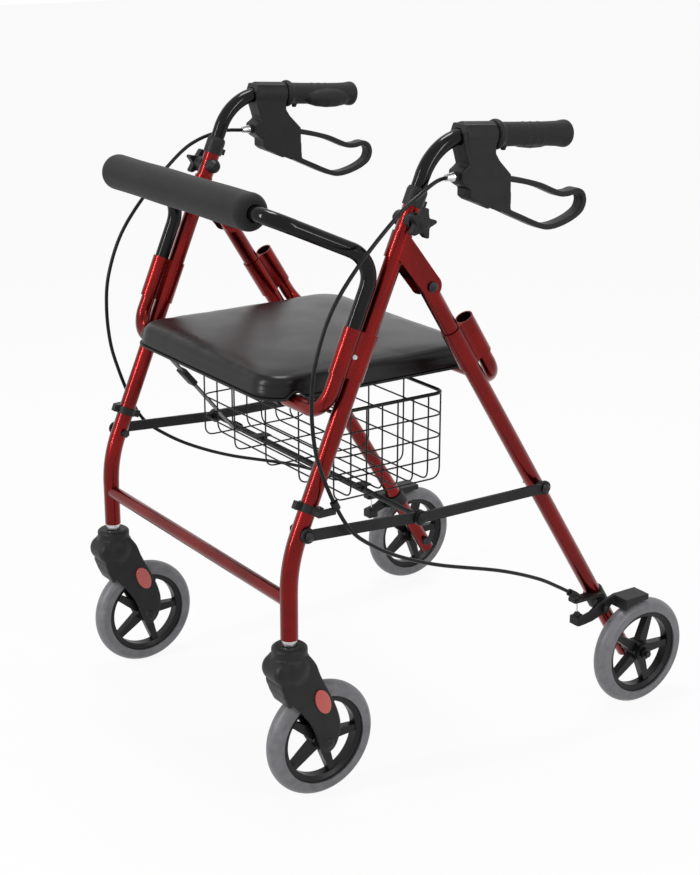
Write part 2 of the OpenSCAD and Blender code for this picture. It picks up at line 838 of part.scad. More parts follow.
module grip(s) {
  length = grip_end - grip_start;
  r = grip_d / 2;
  color(black)
    side(s)
      translate(handle_corner + grip_dir * grip_start)
        rotate([-90 - grip_fall, 0, 0]) {
          rotate_extrude()
            difference() {
              polygon([[0, 0], [r + 1, 0], [r + 3, 2], [r + 3, 6], [r, 12], [r - 0.6, 30], [r + 0.4, 44],
                [r - 0.6, 50], [r + 0.4, 58], [r - 0.6, 64], [r + 0.4, 72], [r - 0.4, 84], [r + 0.6, 108],
                [r + 1.6, length - 2], [r, length + 1], [r - 4, length + 3], [0, length + 3]]);
              square([tube_r + gap, length + slack]);
            }
        }
}

module housing(s) {
  color(black)
    side(s)
      difference() {
        union() {
          side_plate(half_w - housing_w / 2, housing_w) polygon(housing_side);
          bar(handle_corner + grip_dir * 36, handle_corner + grip_dir * (grip_start - 1), tube_d + 13);
          bar([half_w, -50, 763.7], [half_w, -62, 763], 12);
        }
        bent_bar([handle_low, handle_corner, handle_corner + grip_dir * grip_end], handle_bend, tube_d + 2 * gap);
        side_plate(half_w - lever_w / 2 - slack, lever_w + 2 * slack) {
          translate(pivot_lever) circle(root_r + 1);
          translate([pivot_lever[0] - 14, 700]) square([60, pivot_lever[1] - 700]);
          translate([pivot_lever[0], 700]) square([60, pivot_lever[1] + 19 - 700]);
        }
        cross_pin(half_w - housing_w / 2 + 1.5, half_w + housing_w / 2 - 1.5, pivot_lever, cam_pin + 2 * run);
        bar([half_w, -30, 764], [half_w, -70, 763], cable_d + 4 * slack);
      }
}

// pivot pin with the cable cam, inside the lever root
module cam(s) {
  color(steel)
    side(s) {
      cross_pin(half_w - housing_w / 2 + 1.8, half_w + housing_w / 2 - 1.8, pivot_lever, cam_pin);
      cross_pin(half_w - 2.5, half_w + 2.5, pivot_lever, 2 * cam_r_in);
    }
}

// outline of the loop lever with its round root, and the finger opening
module lever_loop() {
  p = smooth_open(lever_path, 4);
  n = len(p);
  outer = [for (i = [0 : n - 1]) p[i] + side_normal(p, i) * lever_t / 2];
  inner = [for (i = [0 : n - 1]) let (q = p[i] - side_normal(p, i) * lever_t / 2) if (q[0] > window_y) q];
  root = [for (w = [285 : -15 : 75]) pivot_lever + root_r * [cos(w), sin(w)]];
  m = len(outer) + len(root);
  polygon(concat(outer, root, inner), [[for (i = [0 : m - 1]) i], [for (i = [0 : len(inner) - 1]) m + i]]);
}

module lever(s) {
  color(black)
    side(s)
      difference() {
        union() {
          side_plate(half_w - lever_w / 2, lever_w) lever_loop();
        }
        cross_pin(half_w - housing_w, half_w + housing_w, pivot_lever, cam_pin + 2 * run);
        cross_pin(half_w - 2.5 - slack, half_w + 2.5 + slack, pivot_lever, 2 * cam_r_in + 2 * slack);
      }
}

module star(r0, r1, t) {
  linear_extrude(t) {
    circle(r0);
    for (i = [0 : 4])
      rotate([0, 0, 72 * i + 20]) {
        polygon([[0, -r0 * 0.85], [r1 - 2.4, -2.6], [r1 - 2.4, 2.6], [0, r0 * 0.85]]);
        translate([r1 - 2.6, 0]) circle(2.6);
      }
  }
}

module knob(s) {
  seat = 6;
  color(black)
    side(s)
      translate([knob_x + seat + slack, leg_y(knob_z), knob_z])
        rotate([0, 90, 0]) {
          cylinder(h = 5, d1 = 15, d2 = 19);
          translate([0, 0, 5]) star(10.5, 19, 11);
          translate([0, 0, 16]) cylinder(h = 2.5, d1 = 15, d2 = 10);
          translate([0, 0, -(leg_d + 2 * seat + 2)]) cylinder(h = leg_d + 2 * seat + 3, d = bolt_d);
        }
}

// caster fork with its cap and axle
module fork(s) {
  y = stem_y;
  head = [[y - 23, 203], [y + 23, 203], [y + 30, 186], [y + 37, 164], [y + 52, 134], [y + 66, 103],
    [y + 65, 84], [y + 59, 64], [y + 49, 56], [y + 36, 58], [y + 28, 68], [y + 20, 92], [y + 10, 116],
    [y - 6, 142], [y - 24, 162], [y - 33, 174], [y - 34, 184], [y - 30, 194]];
  front = [[-22, 203], [22, 203], [27, 190], [28, 180], [26, 170], [fork_half, 158], [fork_half, 50],
    [-fork_half, 50], [-fork_half, 158], [-26, 170], [-28, 180], [-27, 190]];
  color(black)
    side(s)
      difference() {
        union() {
          difference() {
            intersection() {
              side_plate(half_w - 32, 64) polygon(head);
              translate([half_w, y + wheel_d, 0])
                rotate([90, 0, 0])
                  linear_extrude(2 * wheel_d)
                    polygon(front);
            }
            cross_pin(half_w - fork_slot, half_w + fork_slot, [axle_f_y, wheel_r], wheel_d + 12);
          }
          translate([half_w, y, fork_top_z]) cylinder(h = 9, d = cap_d);
          translate([half_w, y, fork_top_z + 9]) cylinder(h = 3, d1 = cap_d, d2 = cap_d - 8);
          cross_pin(half_w - fork_half - 3, half_w + fork_half + 3, [axle_f_y, wheel_r], axle_d);
          for (e = [-1, 1])
            translate([half_w + e * fork_half, axle_f_y, wheel_r]) rotate([0, e * 90, 0]) dome_head(15, 5);
        }
        translate([half_w, y, fork_top_z - 23]) cylinder(h = 60, d = stem_pin + 2 * run);
      }
}

module reflectors(s) {
  t = 2.4;
  color([0.75, 0.2, 0.15])
    side(s)
      for (e = [0, 1])
        side_plate(half_w + (e > 0 ? fork_half + gap : -fork_half - gap - t), t)
          translate([stem_y + 33, 136])
            rotate(24)
              slot_shape(35, 19);
}

module wheel_body() {
  difference() {
    union() {
      rotate_extrude()
        polygon([[rim_r - rim_t, -rim_w / 2 + 3], [rim_r - 3, -rim_w / 2], [rim_r, -rim_w / 2],
          [rim_r, rim_w / 2], [rim_r - 3, rim_w / 2], [rim_r - rim_t, rim_w / 2 - 3]]);
      translate([0, 0, -boss_w / 2]) cylinder(h = boss_w, r = boss_r - 2);
      translate([0, 0, -boss_w / 2 + 3]) cylinder(h = boss_w - 6, r = boss_r);
      for (i = [0 : spokes - 1])
        rotate([0, 0, 360 / spokes * i + 90])
          translate([0, 0, -spoke_w / 2])
            linear_extrude(spoke_w)
              polygon([[0, -spoke_root / 2 - 2], [rim_r - rim_t / 2, -spoke_tip / 2],
                [rim_r - rim_t / 2, spoke_tip / 2], [0, spoke_root / 2 + 2]]);
    }
    translate([0, 0, -boss_w]) cylinder(h = 2 * boss_w, d = axle_d + 2 * run);
  }
}

module tyre() {
  crown = tyre_w * 0.58;
  rotate_extrude()
    intersection() {
      translate([wheel_r - crown, 0]) circle(crown);
      translate([rim_r + gap, -tyre_w / 2]) square([tyre_t, tyre_w]);
    }
}

module front_hub(s) {
  color(black) side(s) translate([half_w, axle_f_y, wheel_r]) rotate([0, 90, 0]) wheel_body();
}

module front_tyre(s) {
  color(rubber) side(s) translate([half_w, axle_f_y, wheel_r]) rotate([0, 90, 0]) tyre();
}

module rear_hub(s) {
  color(black) side(s) translate([rear_x, axle_r_y, wheel_r]) rotate([0, 90, 0]) wheel_body();
}

module rear_tyre(s) {
  color(rubber) side(s) translate([rear_x, axle_r_y, wheel_r]) rotate([0, 90, 0]) tyre();
}

// clamp on the rear leg with the cable stop and the pivot of the brake arm
module brake_brackets() {
  p = rear_point(brake_t);
  h = 20;
  color(black)
    both()
      difference() {
        union() {
          on_rear(brake_t) translate([0, 0, -h / 2]) cylinder(h = h, d = leg_d + 6);
          translate([half_w + 2, 152, 163]) cube([16, p[1] - 152, 4]);
          translate([half_w + 4, 151, 163]) cube([12, 8, 11]);
          bar([half_w + 10, 146, 179.2], [half_w + 10, 160, 170.5], 10);
          translate([half_w + leg_r - 2, brake_pivot[0] - 8, brake_pivot[1] - 8]) cube([7.5, 16, 20]);
          cross_pin(half_w + leg_r, half_w + leg_r + 16, brake_pivot, brake_pin);
          translate([half_w + leg_r + 16, brake_pivot[0], brake_pivot[1]]) rotate([0, 90, 0]) dome_head(10, 3);
        }
        bar(rear_point(brake_t - 60), rear_point(brake_t + 60), leg_d + 2 * gap);
        bar([half_w + 10, 138, 184.2], [half_w + 10, 176, 160.6], cable_d + 2 * slack);
        bar([half_w + 10, 160.2, 176], [half_w + 10, 161.6, 150], cable_d);
      }
}

// two-armed brake lever, cable end in front and shoe over the tyre
module brake_arm(s) {
  x = half_w + leg_r + 6;
  t = 5;
  v = [axle_r_y, wheel_r];
  color(black)
    side(s)
      difference() {
        union() {
          side_plate(x, t)
            polygon([[156, 130], [156, 142], [176, 146], [190, 155], [222, 163], [258, 160], [258, 156],
              [224, 157], [206, 140], [180, 132]]);
          translate([half_w + 4, 154, 130]) cube([x - half_w, 16, 12]);
          translate([half_w + 10, 162, 142]) cylinder(h = 4, d1 = 11, d2 = 7);
          difference() {
            translate([x, 218, 146]) cube([rear_x + 11 - x, 42, 18]);
            cross_pin(0, 2 * half_w, v, wheel_d + 2 * shoe_gap);
            translate([0, 0, 162.5]) cube(wheel_d * 3);
          }
        }
        cross_pin(x - eps, x + t + eps, brake_pivot, brake_pin + 2 * run);
        bar([half_w + 10, 162, 125], [half_w + 10, 162, 150], 3);
      }
}

// round cord swept through the points p, with one radius for each point
module cord(p, radii) {
  n = len(p);
  k = cable_sides;
  rings = [for (i = [0 : n - 1])
    let (d = unit(p[min(n - 1, i + 1)] - p[max(0, i - 1)]), u = unit(cross(d, [1, 0, 0])), w = cross(d, u))
    for (j = [0 : k - 1]) p[i] + (u * cos(360 * j / k) + w * sin(360 * j / k)) * radii[i]];
  sides = [for (i = [0 : n - 2], j = [0 : k - 1], h = [0, 1])
    let (a = i * k + j, b = i * k + (j + 1) % k)
    h == 0 ? [a, b, a + k] : [b, b + k, a + k]];
  ends = [[for (j = [k - 1 : -1 : 0]) j], [for (j = [0 : k - 1]) (n - 1) * k + j]];
  polyhedron(points = rings, faces = concat(sides, ends), convexity = 4);
}

// places along the sheathed cable from place i0 to place i1 of its route
function cable_run(i0, i1) = let (raw = [for (i = [0 : len(cable_route) - 1]) cable_point(i)],
  whole = concat(smooth_open(raw, cable_steps), [raw[len(raw) - 1]]))
  [for (i = [i0 * cable_steps : i1 * cable_steps]) whole[i]];

module cable_upper(s) {
  run = cable_run(0, cable_split);
  p = [for (i = [0 : len(run) - 1]) i < len(run) - 1 ? run[i] : run[i] - cable_dir(cable_split) * eps];
  color(black) side(s) cord(p, [for (q = p) cable_d / 2]);
}

// lower cable with the bare wire that runs on to the brake arm
module cable_lower(s) {
  wire_r = 0.8;
  last = len(cable_route) - 1;
  run = cable_run(cable_split, last);
  p = [for (i = [0 : len(run) - 1]) i > 0 ? run[i] : run[i] + cable_dir(cable_split) * eps];
  tail = [cable_point(last) + cable_dir_end() * 0.4, cable_point(last) + cable_dir_end() * 12,
    [half_w + 10, 161.5, 147]];
  color(black) side(s) cord(concat(p, tail), concat([for (q = p) cable_d / 2], [for (q = tail) wire_r]));
}

front_frame();
top_brackets();
front_sleeves();
front_seat_tube();
leg_collars();
cable_clips();
frame_bolts();
knob_seats();
caster_stems();
rear_legs();
rear_sleeves();
rear_seat_tube();
brake_brackets();
rear_axles();
front_links();
rear_links();
cross_rod();
stay_strap();
basket_clips();
seat_pad();
seat_pan();
seat_clips();
basket();
backrest_tube();
backrest_pad();
handle_tube(1);  // handle_tube_l
handle_tube(-1);  // handle_tube_r
grip(1);  // grip_l
grip(-1);  // grip_r
housing(1);  // housing_l
housing(-1);  // housing_r
cam(1);  // cam_l
cam(-1);  // cam_r
lever(1);  // lever_l
lever(-1);  // lever_r
knob(1);  // knob_l
knob(-1);  // knob_r
fork(1);  // fork_l
fork(-1);  // fork_r
reflectors(1);  // reflectors_l
reflectors(-1);  // reflectors_r
front_hub(1);  // front_hub_l
front_hub(-1);  // front_hub_r
front_tyre(1);  // front_tyre_l
front_tyre(-1);  // front_tyre_r
rear_hub(1);  // rear_hub_l
rear_hub(-1);  // rear_hub_r
rear_tyre(1);  // rear_tyre_l
rear_tyre(-1);  // rear_tyre_r
brake_arm(1);  // brake_arm_l
brake_arm(-1);  // brake_arm_r
cable_upper(1);  // cable_upper_l
cable_upper(-1);  // cable_upper_r
cable_lower(1);  // cable_lower_l
cable_lower(-1);  // cable_lower_r
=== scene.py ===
"""Looks of a four-wheeled rollator walker with padded seat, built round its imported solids.

Everything is in metres in the solids' own frame: Z up, the walker's front towards -Y,
the user's left hand at +X. New pieces are numpy surfaces; each function says its formula.
"""

import bmesh
import bpy
import numpy as np
from mathutils import Matrix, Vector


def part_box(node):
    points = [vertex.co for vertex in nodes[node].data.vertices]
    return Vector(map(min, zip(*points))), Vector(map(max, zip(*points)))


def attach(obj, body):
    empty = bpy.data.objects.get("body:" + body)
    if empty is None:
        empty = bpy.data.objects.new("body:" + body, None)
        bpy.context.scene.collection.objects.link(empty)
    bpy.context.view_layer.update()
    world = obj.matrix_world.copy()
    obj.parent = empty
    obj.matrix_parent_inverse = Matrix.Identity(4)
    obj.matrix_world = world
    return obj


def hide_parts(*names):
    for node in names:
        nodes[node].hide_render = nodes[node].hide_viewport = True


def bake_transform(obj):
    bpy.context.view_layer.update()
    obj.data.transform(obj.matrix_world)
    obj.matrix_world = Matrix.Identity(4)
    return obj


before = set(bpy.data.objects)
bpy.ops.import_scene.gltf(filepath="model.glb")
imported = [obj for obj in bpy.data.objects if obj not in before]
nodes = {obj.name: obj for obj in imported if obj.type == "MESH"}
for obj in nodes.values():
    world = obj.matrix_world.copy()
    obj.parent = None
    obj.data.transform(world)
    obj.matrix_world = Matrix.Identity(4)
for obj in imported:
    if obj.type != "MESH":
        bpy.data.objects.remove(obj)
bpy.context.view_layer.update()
scene = bpy.context.scene
MM = 0.001
SIDES = (("l", 1), ("r", -1))


# camera: the photograph's place, turn and lens, from points on wheels, seat and frame

CAMERA_TARGET = np.array([0, -47.68, 368.98]) * MM
CAMERA_TURN, CAMERA_RISE, CAMERA_ROLL = np.radians([55.62, 18.33, 0.14])
CAMERA_REACH = 2375.43 * MM
CAMERA_LENS, CAMERA_SENSOR, CAMERA_FAR = 71.11, 36, 50


def stand(name, data, right, back, place):
    """A camera or lamp at its place, looking away from back, with right as its level axis."""
    made = bpy.data.objects.new(name, data)
    turn = np.eye(4)
    turn[:3] = np.column_stack([right, np.cross(back, right), back, place])
    made.matrix_world = Matrix(turn.tolist())
    scene.collection.objects.link(made)
    return made


def place_camera():
    """Camera on a ball round its target, at the given turn, rise and roll."""
    turn, rise, roll = CAMERA_TURN, CAMERA_RISE, CAMERA_ROLL
    back = np.array([np.sin(turn) * np.cos(rise), -np.cos(turn) * np.cos(rise), np.sin(rise)])
    level = np.array([np.cos(turn), np.sin(turn), 0])
    up = np.cross(back, level)
    right = level * np.cos(roll) + up * np.sin(roll)
    lens = bpy.data.cameras.new("camera")
    lens.sensor_width = CAMERA_SENSOR
    lens.lens = CAMERA_LENS
    lens.clip_end = CAMERA_FAR
    scene.camera = stand("camera", lens, right, back, CAMERA_TARGET + back * CAMERA_REACH)


place_camera()
scene.view_settings.view_transform = "Standard"


# surfaces

def quads(rows, cols, ring=False, loop=False):
    """Faces of a grid of points; ring joins the last column to the first, loop the last row to the first."""
    i, j = np.meshgrid(np.arange(rows - (not loop)), np.arange(cols - (not ring)), indexing="ij")
    below, beside = (i + 1) % rows, (j + 1) % cols
    corners = [i * cols + j, i * cols + beside, below * cols + beside, below * cols + j]
    return np.stack(corners, -1).reshape(-1, 4)


def new_piece(name, points, faces, material, sharp=40, uv=None):
    """A mesh of points and faces: doubles merged, faces turned outwards, edges past an angle kept crisp."""
    mesh = bpy.data.meshes.new(name)
    mesh.from_pydata(np.asarray(points, float).reshape(-1, 3).tolist(), [], [list(f) for f in faces])
    if uv is not None:
        layer = mesh.uv_layers.new(name="UVMap")
        corners = np.empty(len(mesh.loops), np.int32)
        mesh.loops.foreach_get("vertex_index", corners)
        layer.data.foreach_set("uv", np.asarray(uv, np.float32).reshape(-1, 2)[corners].ravel())
    work = bmesh.new()
    work.from_mesh(mesh)
    bmesh.ops.remove_doubles(work, verts=work.verts, dist=1e-6)
    bmesh.ops.recalc_face_normals(work, faces=work.faces)
    work.to_mesh(mesh)
    work.free()
    mesh.polygons.foreach_set("use_smooth", np.ones(len(mesh.polygons), bool))
    mesh.set_sharp_from_angle(angle=np.radians(sharp))
    mesh.materials.append(material)
    made = bpy.data.objects.new(name, mesh)
    scene.collection.objects.link(made)
    return made


def run_of(path):
    """Distance along a path at each of its points, from its start."""
    return np.concatenate([[0], np.cumsum(np.linalg.norm(np.diff(path, axis=0), axis=1))])


def carried(path, outline, axis):
    """A profile carried along a path: point (i, j) is path i + side i * outline x + third i * outline y.
    The side is square to the path and the axis, and the third vector is square to path and side."""
    step = np.gradient(path, axis=0)
    step /= np.linalg.norm(step, axis=1, keepdims=True)
    side = np.cross(step, np.asarray(axis, float))
    side /= np.linalg.norm(side, axis=1, keepdims=True)
    third = np.cross(step, side)
    outline = np.broadcast_to(outline, (len(path), *np.shape(outline)[-2:]))
    return path[:, None] + side[:, None] * outline[..., :1] + third[:, None] * outline[..., 1:]


def round_outline(radius, count=16):
    """A circle's points; radius may hold one number for each ring."""
    turn = np.linspace(0, 2 * np.pi, count, endpoint=False)
    ring = np.stack([np.cos(turn), np.sin(turn)], -1)
    return np.asarray(radius, float)[..., None, None] * ring


def soft_outline(width, height, power=4.0, count=32):
    """A superellipse: |x / a| to the power plus |y / b| to the power is 1."""
    turn = np.linspace(0, 2 * np.pi, count, endpoint=False)
    c, s = np.cos(turn), np.sin(turn)
    x = np.sign(c) * np.abs(c) ** (2 / power)
    y = np.sign(s) * np.abs(s) ** (2 / power)
    width, height = np.asarray(width, float)[..., None], np.asarray(height, float)[..., None]
    return np.stack([x * width / 2, y * height / 2], -1)


def rod_form(path, radius, axis, count=12):
    """A round rod along a path, closed by a point at each end; UV is length along and share around."""
    path = np.asarray(path, float)
    rings = carried(path, round_outline(np.broadcast_to(np.asarray(radius, float), len(path)), count), axis)
    tips = [np.repeat(path[k][None, None], count, 1) for k in (0, -1)]
    far = run_of(path)
    far = np.concatenate([far[:1], far, far[-1:]])
    uv = np.stack(np.broadcast_arrays(far[:, None], np.linspace(0, 1, count)[None]), -1)
    return np.concatenate([tips[0], rings, tips[1]]), uv


def rods(name, runs, material):
    """One piece from several rods, each given as its path, radius and axis."""
    points, faces, uvs, start_at = [], [], [], 0
    for path, radius, axis in runs:
        rings, uv = rod_form(path, radius, axis)
        points.append(rings.reshape(-1, 3))
        uvs.append(uv.reshape(-1, 2))
        faces.append(quads(rings.shape[0], rings.shape[1], ring=True) + start_at)
        start_at += len(points[-1])
    return new_piece(name, np.concatenate(points), np.concatenate(faces), material, uv=np.concatenate(uvs))


def eased(points, share):
    """Catmull-Rom curve through the points, with the given number of steps between two of them."""
    p = np.asarray(points, float)
    p = np.concatenate([p[:1], p, p[-1:]])
    t = np.linspace(0, 1, share, endpoint=False)[None, :, None]
    a, b, c, d = (p[i : len(p) - 3 + i, None] for i in range(4))
    curve = 0.5 * (2 * b + (c - a) * t + (2 * a - 5 * b + 4 * c - d) * t**2 + (3 * b - a - 3 * c + d) * t**3)
    return np.concatenate([curve.reshape(-1, p.shape[1]), p[-1:]])


def turned(profile, origin, axis, across, count=48):
    """A profile of radius and height turned about an axis from an origin; across is where it starts."""
    profile, axis, across = (np.asarray(v, float) for v in (profile, axis, across))
    turn = np.linspace(0, 2 * np.pi, count, endpoint=False)[:, None]
    ring = np.cos(turn) * across + np.sin(turn) * np.cross(axis, across)
    return np.asarray(origin, float) + profile[:, 1, None, None] * axis + profile[:, 0, None, None] * ring


def plate_form(outline, low, high, edge):
    """A side outline (y, z) carried from x low to x high; both rims are drawn in by a quarter circle."""
    outline = np.asarray(outline, float)
    step = np.roll(outline, -1, 0) - np.roll(outline, 1, 0)
    step /= np.linalg.norm(step, axis=1, keepdims=True)
    inward = np.stack([-step[:, 1], step[:, 0]], -1)
    area = np.sum(outline[:, 0] * np.roll(outline[:, 1], -1) - outline[:, 1] * np.roll(outline[:, 0], -1))
    inward *= np.sign(area)
    turn = np.linspace(0, np.pi / 2, 4)
    x = np.concatenate([low + edge - edge * np.cos(turn), high - edge + edge * np.sin(turn)])
    draw = np.concatenate([edge - edge * np.sin(turn), edge - edge * np.cos(turn)])
    rings = outline[None] + inward[None] * draw[:, None, None]
    return np.concatenate([np.broadcast_to(x[:, None, None], (*rings.shape[:2], 1)), rings], -1)


def joined(name, forms, material):
    """One piece from several closed forms: rings of points whose first and last ring are capped."""
    points, faces, start_at = [], [], 0
    for rings in forms:
        rows, cols = rings.shape[:2]
        points.append(rings.reshape(-1, 3))
        faces += (quads(rows, cols, ring=True) + start_at).tolist()
        for row in (0, rows - 1):
            if np.ptp(rings[row], axis=0).max() > 1e-6:
                faces.append((start_at + row * cols + np.arange(cols)).tolist())
        start_at += rows * cols
    return new_piece(name, np.concatenate(points), faces, material)


def mirrored(points, s):
    """The same points on the user's left, s 1, or right, s -1."""
    return np.asarray(points, float) * np.array([s, 1, 1])


# materials

def linear(code):
    """An sRGB hex colour as linear red, green, blue and 1."""
    c = np.array([int(code[i : i + 2], 16) for i in (1, 3, 5)]) / 255
    return (*np.where(c <= 0.04045, c / 12.92, ((c + 0.055) / 1.055) ** 2.4), 1)


def add(tree, kind, inputs=None, to=None, stops=(), **settings):
    """Adds a node with its settings, inputs and colour stops, and links its first output to a socket."""
    made = tree.nodes.new(kind)
    for key, value in settings.items():
        setattr(made, key, value)
    for key, value in (inputs or {}).items():
        if isinstance(value, bpy.types.NodeSocket):
            tree.links.new(value, made.inputs[key])
        else:
            made.inputs[key].default_value = value
    for i, (place, code) in enumerate(stops):
        stop = made.color_ramp.elements[i] if i < 2 else made.color_ramp.elements.new(place)
        stop.position = place
        stop.color = linear(code)
    if to is not None:
        tree.links.new(made.outputs[0], to)
    return made


def start(name, **sockets):
    """A new material with its tree, its one Principled shader and its Object coordinates."""
    made = bpy.data.materials.new(name)
    made.use_nodes = True
    tree = made.node_tree
    tree.nodes.clear()
    shader = add(tree, "ShaderNodeBsdfPrincipled", {k.replace("_", " "): v for k, v in sockets.items()})
    add(tree, "ShaderNodeOutputMaterial", {"Surface": shader.outputs[0]})
    return made, tree, shader, add(tree, "ShaderNodeTexCoord").outputs["Object"]


def red_lacquer():
    """Aluminium tube in metallic dark red lacquer, sprayed and baked: flakes sparkle under a clear coat.
    Real flakes are about 0.05 mm; they are drawn at 0.9 mm so that they show."""
    made, tree, shader, place = start("lacquered_aluminium_red", Metallic=1.0, Coat_Weight=0.6,
                                      Coat_IOR=1.32, Coat_Roughness=0.12)
    flake = add(tree, "ShaderNodeTexVoronoi", {"Vector": place, "Scale": 1 / (0.9 * MM)})
    cloud = add(tree, "ShaderNodeTexNoise", {"Vector": place, "Scale": 1 / (60 * MM), "Detail": 3.0})
    bits = add(tree, "ShaderNodeSeparateColor", {"Color": flake.outputs["Color"]})
    mixed = add(tree, "ShaderNodeMath", {0: bits.outputs[0], 1: 0.25}, operation="MULTIPLY")
    mixed = add(tree, "ShaderNodeMath", {0: cloud.outputs["Fac"], 1: 0.75, 2: mixed.outputs[0]},
                operation="MULTIPLY_ADD")
    add(tree, "ShaderNodeValToRGB", {"Fac": mixed.outputs[0]}, shader.inputs["Base Color"],
        [(0.2, "#560605"), (0.8, "#8A0F0B"), (0.5, "#700A08")])
    add(tree, "ShaderNodeMapRange", {"Value": bits.outputs[1], "To Min": 0.27, "To Max": 0.34},
        shader.inputs["Roughness"])
    peel = add(tree, "ShaderNodeTexNoise", {"Vector": place, "Scale": 1 / (4 * MM), "Detail": 1.0})
    add(tree, "ShaderNodeBump", {"Height": peel.outputs["Fac"], "Strength": 0.03, "Distance": 0.4 * MM},
        shader.inputs["Coat Normal"])
    return made


def black_lacquer():
    """Steel tube in gloss black lacquer: deep black and mirror-like, with faint orange peel 5 mm across."""
    made, tree, shader, place = start("lacquered_steel_black", Roughness=0.12, Specular_IOR_Level=0.2)
    cloud = add(tree, "ShaderNodeTexNoise", {"Vector": place, "Scale": 1 / (30 * MM), "Detail": 4.0})
    add(tree, "ShaderNodeValToRGB", {"Fac": cloud.outputs["Fac"]}, shader.inputs["Base Color"],
        [(0.3, "#060606"), (0.7, "#0D0D0D")])
    peel = add(tree, "ShaderNodeTexNoise", {"Vector": place, "Scale": 1 / (5 * MM), "Detail": 1.0})
    add(tree, "ShaderNodeBump", {"Height": peel.outputs["Fac"], "Strength": 0.04, "Distance": 0.4 * MM},
        shader.inputs["Normal"])
    return made


def satin_paint():
    """Flat steel bar in satin black powder coat, baked: even and dull, with a fine pebble 1.2 mm across."""
    made, tree, shader, place = start("powder_coated_steel_black", Specular_IOR_Level=0.25)
    cloud = add(tree, "ShaderNodeTexNoise", {"Vector": place, "Scale": 1 / (25 * MM), "Detail": 4.0})
    add(tree, "ShaderNodeValToRGB", {"Fac": cloud.outputs["Fac"]}, shader.inputs["Base Color"],
        [(0.3, "#131314"), (0.7, "#1E1E1F")])
    pebble = add(tree, "ShaderNodeTexVoronoi", {"Vector": place, "Scale": 1 / (1.2 * MM)},
                 feature="SMOOTH_F1")
    add(tree, "ShaderNodeMapRange", {"Value": pebble.outputs["Distance"], "To Min": 0.42, "To Max": 0.58},
        shader.inputs["Roughness"])
    add(tree, "ShaderNodeBump", {"Height": pebble.outputs["Distance"],
                                 "Strength": 0.12, "Distance": 0.3 * MM}, shader.inputs["Normal"])
    return made


def moulded_black(name, dark, light, low, high, grit):
    """Plastic or rubber moulded in a spark-eroded tool: a fine even grit, shinier where hands rub it."""
    made, tree, shader, place = start(name, IOR=1.49, Specular_IOR_Level=0.25)
    cloud = add(tree, "ShaderNodeTexNoise", {"Vector": place, "Scale": 1 / (18 * MM), "Detail": 5.0})
    add(tree, "ShaderNodeValToRGB", {"Fac": cloud.outputs["Fac"]}, shader.inputs["Base Color"],
        [(0.3, dark), (0.7, light)])
    speck = add(tree, "ShaderNodeTexNoise", {"Vector": place, "Scale": 1 / (grit * MM), "Detail": 2.0})
    add(tree, "ShaderNodeMapRange", {"Value": cloud.outputs["Fac"], "From Min": 0.3, "From Max": 0.7,
                                     "To Min": low, "To Max": high}, shader.inputs["Roughness"])
    add(tree, "ShaderNodeBump", {"Height": speck.outputs["Fac"], "Strength": 0.22, "Distance": 0.25 * MM},
        shader.inputs["Normal"])
    return made


def seat_skin():
    """Seat foam with its own moulded vinyl skin: satin black with a leather-like 1.6 mm pebble."""
    made, tree, shader, place = start("moulded_vinyl_skin_black", IOR=1.5, Specular_IOR_Level=0.26)
    cloud = add(tree, "ShaderNodeTexNoise", {"Vector": place, "Scale": 1 / (70 * MM), "Detail": 4.0})
    add(tree, "ShaderNodeValToRGB", {"Fac": cloud.outputs["Fac"]}, shader.inputs["Base Color"],
        [(0.3, "#0A0A0B"), (0.7, "#121213")])
    pebble = add(tree, "ShaderNodeTexVoronoi", {"Vector": place, "Scale": 1 / (1.6 * MM)},
                 feature="SMOOTH_F1")
    add(tree, "ShaderNodeMapRange", {"Value": cloud.outputs["Fac"], "From Min": 0.3, "From Max": 0.7,
                                     "To Min": 0.27, "To Max": 0.37}, shader.inputs["Roughness"])
    add(tree, "ShaderNodeBump", {"Height": pebble.outputs["Distance"],
                                 "Strength": 0.15, "Distance": 0.25 * MM}, shader.inputs["Normal"])
    return made


def cell_foam():
    """Closed-cell rubber foam, extruded and skinned: soft matt black, with 1 mm cells as a fine tooth."""
    made, tree, shader, place = start("closed_cell_foam_black", IOR=1.45, Specular_IOR_Level=0.25,
                                      Sheen_Weight=0.06, Sheen_Roughness=0.6)
    cloud = add(tree, "ShaderNodeTexNoise", {"Vector": place, "Scale": 1 / (40 * MM), "Detail": 4.0})
    add(tree, "ShaderNodeValToRGB", {"Fac": cloud.outputs["Fac"]}, shader.inputs["Base Color"],
        [(0.3, "#111111"), (0.7, "#1A1A1A")])
    cell = add(tree, "ShaderNodeTexVoronoi", {"Vector": place, "Scale": 1 / (1.0 * MM)})
    add(tree, "ShaderNodeMapRange", {"Value": cell.outputs["Distance"], "To Min": 0.58, "To Max": 0.78},
        shader.inputs["Roughness"])
    add(tree, "ShaderNodeBump", {"Height": cell.outputs["Distance"],
                                 "Strength": 0.25, "Distance": 0.3 * MM}, shader.inputs["Normal"])
    return made


